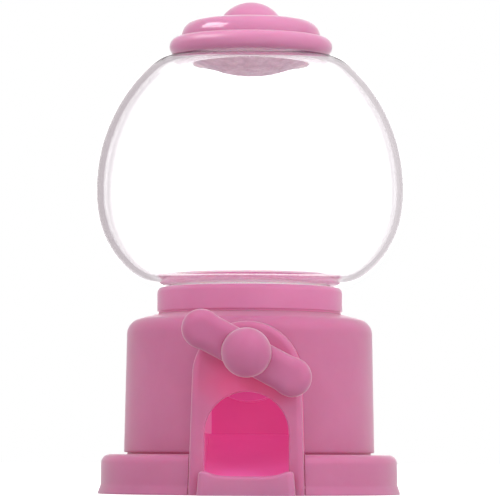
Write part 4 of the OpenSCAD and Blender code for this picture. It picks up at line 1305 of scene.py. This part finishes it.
@dataclass
class HandleSet:
    """Two-winged handle and the ball that covers its screw."""

    reach: float = 13.0  # Distance from the shaft to the centre of each wing's end.
    end_r: float = 5.0  # Radius of the wing's end.
    bar: float = 4.7  # Half the height of the bar between them.
    thick: float = 6.6  # Thickness of the wings.
    hub_r: float = 5.6  # Radius of the hub.
    ball_r: float = 6.3  # Radius of the ball.
    ball_in: float = 4.7  # Distance of the plane that the ball sits on from the handle's back.
    play: float = 0.1  # Play round the ball in its seat.
    bore_r: float = 3.0  # Radius of the shaft's bore.
    bore_end: float = 1.5  # Distance of the bore's end from the plane that the ball sits on.
    blend: float = 24  # Power of the mean that joins the bar to the wings' ends.
    tilt: float = 28.0  # Turn of the wings about the shaft at rest, in degrees.
    back: float = field(init=False)  # Depth of the handle's back.
    seat: float = field(init=False)  # Depth of the plane that the ball sits on.

    def __post_init__(self) -> None:
        """Reads the handle's place from the frame."""
        self.back = span("handle")[1][1]
        self.seat = self.back - self.ball_in

    def wing_line(self) -> np.ndarray:
        """Outline of the wings: two circles joined by a bar, blended by a power mean, as (x, z)."""
        turn = np.linspace(np.pi / 2, 0, 22)
        end = np.stack([self.reach + self.end_r * np.cos(turn), self.end_r * np.sin(turn)], axis=1)
        x = np.linspace(0, self.reach, 26)[:-1]
        circle = np.sqrt(np.clip(self.end_r**2 - (self.reach - x) ** 2, 0, None))
        height = (self.bar**self.blend + circle**self.blend) ** (1 / self.blend)
        quarter = np.vstack([np.stack([x, height], axis=1), end])
        half = np.vstack([quarter, (quarter * np.array([[1, -1]]))[-2::-1]])
        return np.vstack([half, (half * np.array([[-1, 1]]))[-2:0:-1]])

    def wings(self) -> np.ndarray:
        """Skin of the wings: a full-round edge between the two faces, each closed along the middle line.

        The outline is drawn in along its normals by the edge radius times (1 - cosine) of the edge's angle.
        """
        line = self.wing_line()
        along = np.roll(line, -1, axis=0) - np.roll(line, 1, axis=0)
        normal = np.stack([-along[:, 1], along[:, 0]], axis=1)
        normal /= np.linalg.norm(normal, axis=1)[:, None]
        normal *= np.sign(np.sum(normal * line, axis=1))[:, None]
        radius = self.thick / 2
        middle = self.back - radius
        spine = np.stack([np.clip(line[:, 0], -self.reach, self.reach), np.zeros(len(line))], axis=1)
        rows = []
        for turn in np.linspace(-np.pi / 2, np.pi / 2, 21):
            drawn = line - normal * radius * (1 - math.cos(turn))
            rows.append(at_depth(drawn, middle + radius * math.sin(turn)))
        faces = [[at_depth(rows[end][:, ::2] * (1 - s) + spine * s, middle + sign * radius) for s in (0.3, 0.7, 1.0)]
                 for end, sign in ((0, -1), (-1, 1))]
        flat = np.stack(faces[0][::-1] + rows + faces[1])
        tilt = math.radians(self.tilt)
        x, z = flat[..., 0], flat[..., 2]
        return np.stack([x * math.cos(tilt) + z * math.sin(tilt), flat[..., 1],
                         shaft_height() - x * math.sin(tilt) + z * math.cos(tilt)], axis=-1) * MM

    def ball_line(self, grow: float) -> np.ndarray:
        """Line of the ball from its pole to the plane that it sits on.

        Args:
            grow: How much larger its radius is.

        Returns:
            Points (n, 2) of the distance from the shaft and the depth, in millimetres.
        """
        centre, radius = span("hub_cap")[0][1] + self.ball_r, self.ball_r + grow
        turn = np.linspace(0, math.acos(-(self.seat - centre) / radius), 40)
        return np.stack([radius * np.sin(turn), centre - radius * np.cos(turn)], axis=1)

    def build(self) -> None:
        """Makes and places the handle and its ball."""
        back, seat = self.back, self.seat
        shaft = {"axis": Axis.SHAFT, "height": shaft_height()}
        handle = Moulding("handle_wings").add(self.wings(), False, True).make()
        hub = fillet([(0.0, back, 0.0), (self.hub_r, back, 0.35), (self.hub_r, seat, 0.2), (0.0, seat, 0.0)])
        carve(handle, turned("hub", hub, segments=96, **shaft), "UNION")
        ball = self.ball_line(self.play)
        carve(handle, turned("seat", np.vstack([ball, [[0.0, ball[-1, 1]]]]), segments=96, **shaft))
        carve(handle, rod("bore", self.bore_r, back + 1, seat + self.bore_end, 48))
        place(handle, Body.ROTOR, Slot.PINK, HANDLE_PINK, ["handle"])
        cap = self.ball_line(0.0)
        cap = np.vstack([cap, [[cap[-1, 0] - 0.4, seat], [0.0, seat]]])
        made = turned("hub_cap_ball", cap, segments=128, **shaft)
        place(made, Body.ROTOR, Slot.PINK, HANDLE_PINK, ["hub_cap"])


@dataclass
class Machine:
    """The whole machine: smooth mouldings where they show and dressed CAD pieces inside."""

    nodes: dict[str, bpy.types.Object]  # CAD nodes of the frame by name.

    def build(self) -> None:
        """Makes every group in order and dresses the CAD pieces that stay."""
        front = FrontSet()
        body = BodySet(front.half_width, front.arch_z + front.arch_r + front.gap, front.arch_z)
        for group in (body, front, Chute(), NeckSet(), Globe(), Lid(), HandleSet()):
            group.build()
        steel = ("drive_shaft", "base_screws", "collar_screws", "housing_screws", "cover_screws", "handle_screw")
        for slot, finish, names in ((Slot.PINK, PINK, ("base_plate",)),
                                    (Slot.HOT_PINK, HOT_PINK, ("drum_housing", "drum_cover")),
                                    (Slot.PALE, PALE, ("dispensing_drum",)),
                                    (Slot.WHITE, WHITE, ("thrust_washer",)), (Slot.STEEL, STEEL, steel)):
            for name in names:
                dress(self.nodes[name], finish)


# ---------------------------------------------------------------- the studio


@dataclass
class Softbox:
    """A soft lamp that looks at the machine."""

    name: str  # Name of the lamp.
    place: Corner  # Where it stands, in metres.
    size: tuple[float, float]  # Width and height in metres.
    power: float  # Power in watts.
    mirrored: bool = False  # Whether it shows in reflections only, rather than lighting only.
    aim: Corner = (0.0, 0.0, 0.06)  # Point that it looks at.
    only: tuple[str, ...] = ()  # Names of the pieces that it lights, or all where empty.

    def build(self) -> None:
        """Sets up the lamp."""
        lamp = bpy.data.lights.new(self.name, "AREA")
        lamp.shape, lamp.size, lamp.size_y, lamp.energy = "RECTANGLE", self.size[0], self.size[1], self.power
        stand = bpy.data.objects.new(self.name, lamp)
        stand.location = self.place
        stand.rotation_euler = (Vector(self.aim) - Vector(self.place)).to_track_quat("-Z", "Y").to_euler()
        stand.visible_transmission = False
        stand.visible_glossy, stand.visible_diffuse = self.mirrored, not self.mirrored
        if self.only:
            group = bpy.data.collections.new(self.name + "_takes")
            for name in self.only:
                group.objects.link(bpy.data.objects[name])
            stand.light_linking.receiver_collection = group
        bpy.context.scene.collection.objects.link(stand)


@dataclass
class Studio:
    """Plain white studio: floor, sky, softboxes and camera."""

    distance: float = 0.925  # Distance of the camera from the machine's axis, in metres.
    height: float = 0.0104  # Height of the camera, in metres.
    turn: float = 1.0  # Turn of the camera round the machine, in degrees.
    pitch: float = 3.345  # Upward pitch of the camera, in degrees.
    roll: float = 0.25  # Roll of the camera, in degrees.
    lens: float = 252.0  # Focal length in millimetres.
    sensor: float = 36.0  # Width of the sensor in millimetres.
    fill: float = 0.6  # Strength of the soft light from all round.
    behind: float = 2.8  # Brightness behind the machine, as seen in shine and through clear plastic.
    above: float = 0.5  # Width of the bright backdrop over its height above the machine.
    below: float = 0.85  # The same below the machine.
    around: float = 1.5  # Brightness on the other sides, as seen through clear plastic.
    left_tone: Colour = (0.56, 0.5, 0.52)  # Colour to the left, as seen in shine, linear.
    right_tone: Colour = (0.7, 0.65, 0.67)  # The same to the right.
    left_clear: Colour = (0.72, 0.66, 0.69)  # Colour to the left, as seen through clear plastic, linear.
    right_clear: Colour = (0.98, 0.93, 0.95)  # The same to the right.
    near: tuple[float, float] = (0.26, 0.11)  # How far aside the bright backdrop ends, and where it's whole.
    far: tuple[float, float] = (0.55, 0.66)  # How far aside the greys end, and where the other sides' light is whole.
    spread: float = 0.6  # How far aside the tones are wholly those of the left or the right.
    floor_half: float = 3.0  # Half the floor's width, in metres.
    floor_tone: float = 0.6  # Grey of the floor, linear.
    floor_glow: float = 0.75  # Light that the floor adds for the camera.

    def camera(self) -> None:
        """Sets up the camera."""
        data = bpy.data.cameras.new("camera")
        data.lens, data.sensor_width, data.clip_end = self.lens, self.sensor, 20.0
        camera = bpy.data.objects.new("camera", data)
        bpy.context.scene.collection.objects.link(camera)
        turn = math.radians(self.turn)
        spot = Matrix.Translation((self.distance * math.sin(turn), -self.distance * math.cos(turn), self.height))
        camera.matrix_world = (spot @ Matrix.Rotation(turn, 4, "Z")
                               @ Matrix.Rotation(math.radians(90 + self.pitch), 4, "X")
                               @ Matrix.Rotation(math.radians(self.roll), 4, "Z"))
        bpy.context.scene.camera = camera

    def sky(self) -> None:
        """Even light; what the camera sees is white, and what shines or passes through greys to the front."""
        world = bpy.data.worlds.new("studio")
        world.use_nodes = True
        bpy.context.scene.world = world
        w = Wiring(world.node_tree)
        path = w.node("ShaderNodeLightPath").outputs
        way = w.node("ShaderNodeSeparateXYZ", Vector=w.node("ShaderNodeTexCoord").outputs["Generated"]).outputs
        high = w.math("MAXIMUM", w.math("MULTIPLY", way["Z"], self.above), w.math("MULTIPLY", way["Z"], -self.below))
        flat = w.node("ShaderNodeCombineXYZ", X=way["X"], Z=high).outputs["Vector"]
        aside = w.node("ShaderNodeVectorMath", {"operation": "LENGTH"}, Vector=flat).outputs["Value"]
        ahead = w.math("GREATER_THAN", way["Y"], 0.0)
        near = w.math("MULTIPLY", w.ramp(aside, *self.near, smooth=True), ahead)
        far = w.math("MAXIMUM", w.ramp(aside, *self.far, smooth=True), w.math("SUBTRACT", 1.0, ahead))
        across = w.ramp(way["X"], -self.spread, self.spread)
        shone = w.mix(across, self.left_tone, self.right_tone)
        through = w.mix(far, w.mix(across, self.left_clear, self.right_clear), (self.around,) * 3)
        clear = path["Is Transmission Ray"]
        wide = w.mix(near, w.mix(clear, shone, through), (self.behind,) * 3)
        seen = w.mix(w.math("MAXIMUM", path["Is Glossy Ray"], clear), (self.fill,) * 3, wide)
        level = w.mix(path["Is Camera Ray"], seen, (1.0, 1.0, 1.0))
        w.node("ShaderNodeOutputWorld", Surface=w.join("ShaderNodeBackground", level))

    def floor(self) -> None:
        """A wide pale floor that looks white to the camera, takes the shadow and lets shine see the sky below."""
        half = self.floor_half
        corners = np.array([[[x, y, 0] for x in (-half, half)] for y in (-half, half)], float)
        floor = Moulding("floor").add(corners).make()
        made = bpy.data.materials.new("floor_white")
        made.use_nodes = True
        w = Wiring(made.node_tree)
        path = w.node("ShaderNodeLightPath").outputs
        skin = w.node("ShaderNodeBsdfPrincipled", Base_Color=(self.floor_tone,) * 3, Roughness=0.9,
                      Specular_IOR_Level=0.0)
        light = w.join("ShaderNodeEmission", (1.0, 1.0, 1.0),
                       w.math("MULTIPLY", path["Is Camera Ray"], self.floor_glow))
        seen = w.join("ShaderNodeMixShader", w.math("MAXIMUM", path["Is Glossy Ray"], path["Is Transmission Ray"]),
                      w.join("ShaderNodeAddShader", skin.outputs["BSDF"], light),
                      w.join("ShaderNodeBsdfTransparent", (1.0, 1.0, 1.0)))
        w.node("ShaderNodeOutputMaterial", Surface=seen)
        floor.data.materials.append(made)

    def build(self) -> None:
        """Sets up the whole studio."""
        bpy.context.scene.view_settings.view_transform = "Standard"
        self.sky()
        self.floor()
        self.camera()
        for box in (Softbox("left", (-0.6, -0.8, 0.7), (0.5, 0.5), 3.8),
                    Softbox("right", (0.85, -0.65, 0.5), (0.6, 0.8), 5.8),
                    Softbox("top", (0.0, 0.05, 1.1), (0.9, 0.9), 5.4),
                    Softbox("window", (-0.75, -0.24, 0.745), (0.75, 0.45), 10.0, True, (0.0, 0.0, 0.12),
                            ("lid_cap_moulding",))):
            box.build()


def main() -> None:
    """Builds the machine and its studio in order."""
    logging.basicConfig(level=logging.INFO, format="%(name)s: %(message)s")
    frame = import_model()
    Machine(frame["nodes"]).build()
    Studio().build()


if __name__ == "__main__":
    main()
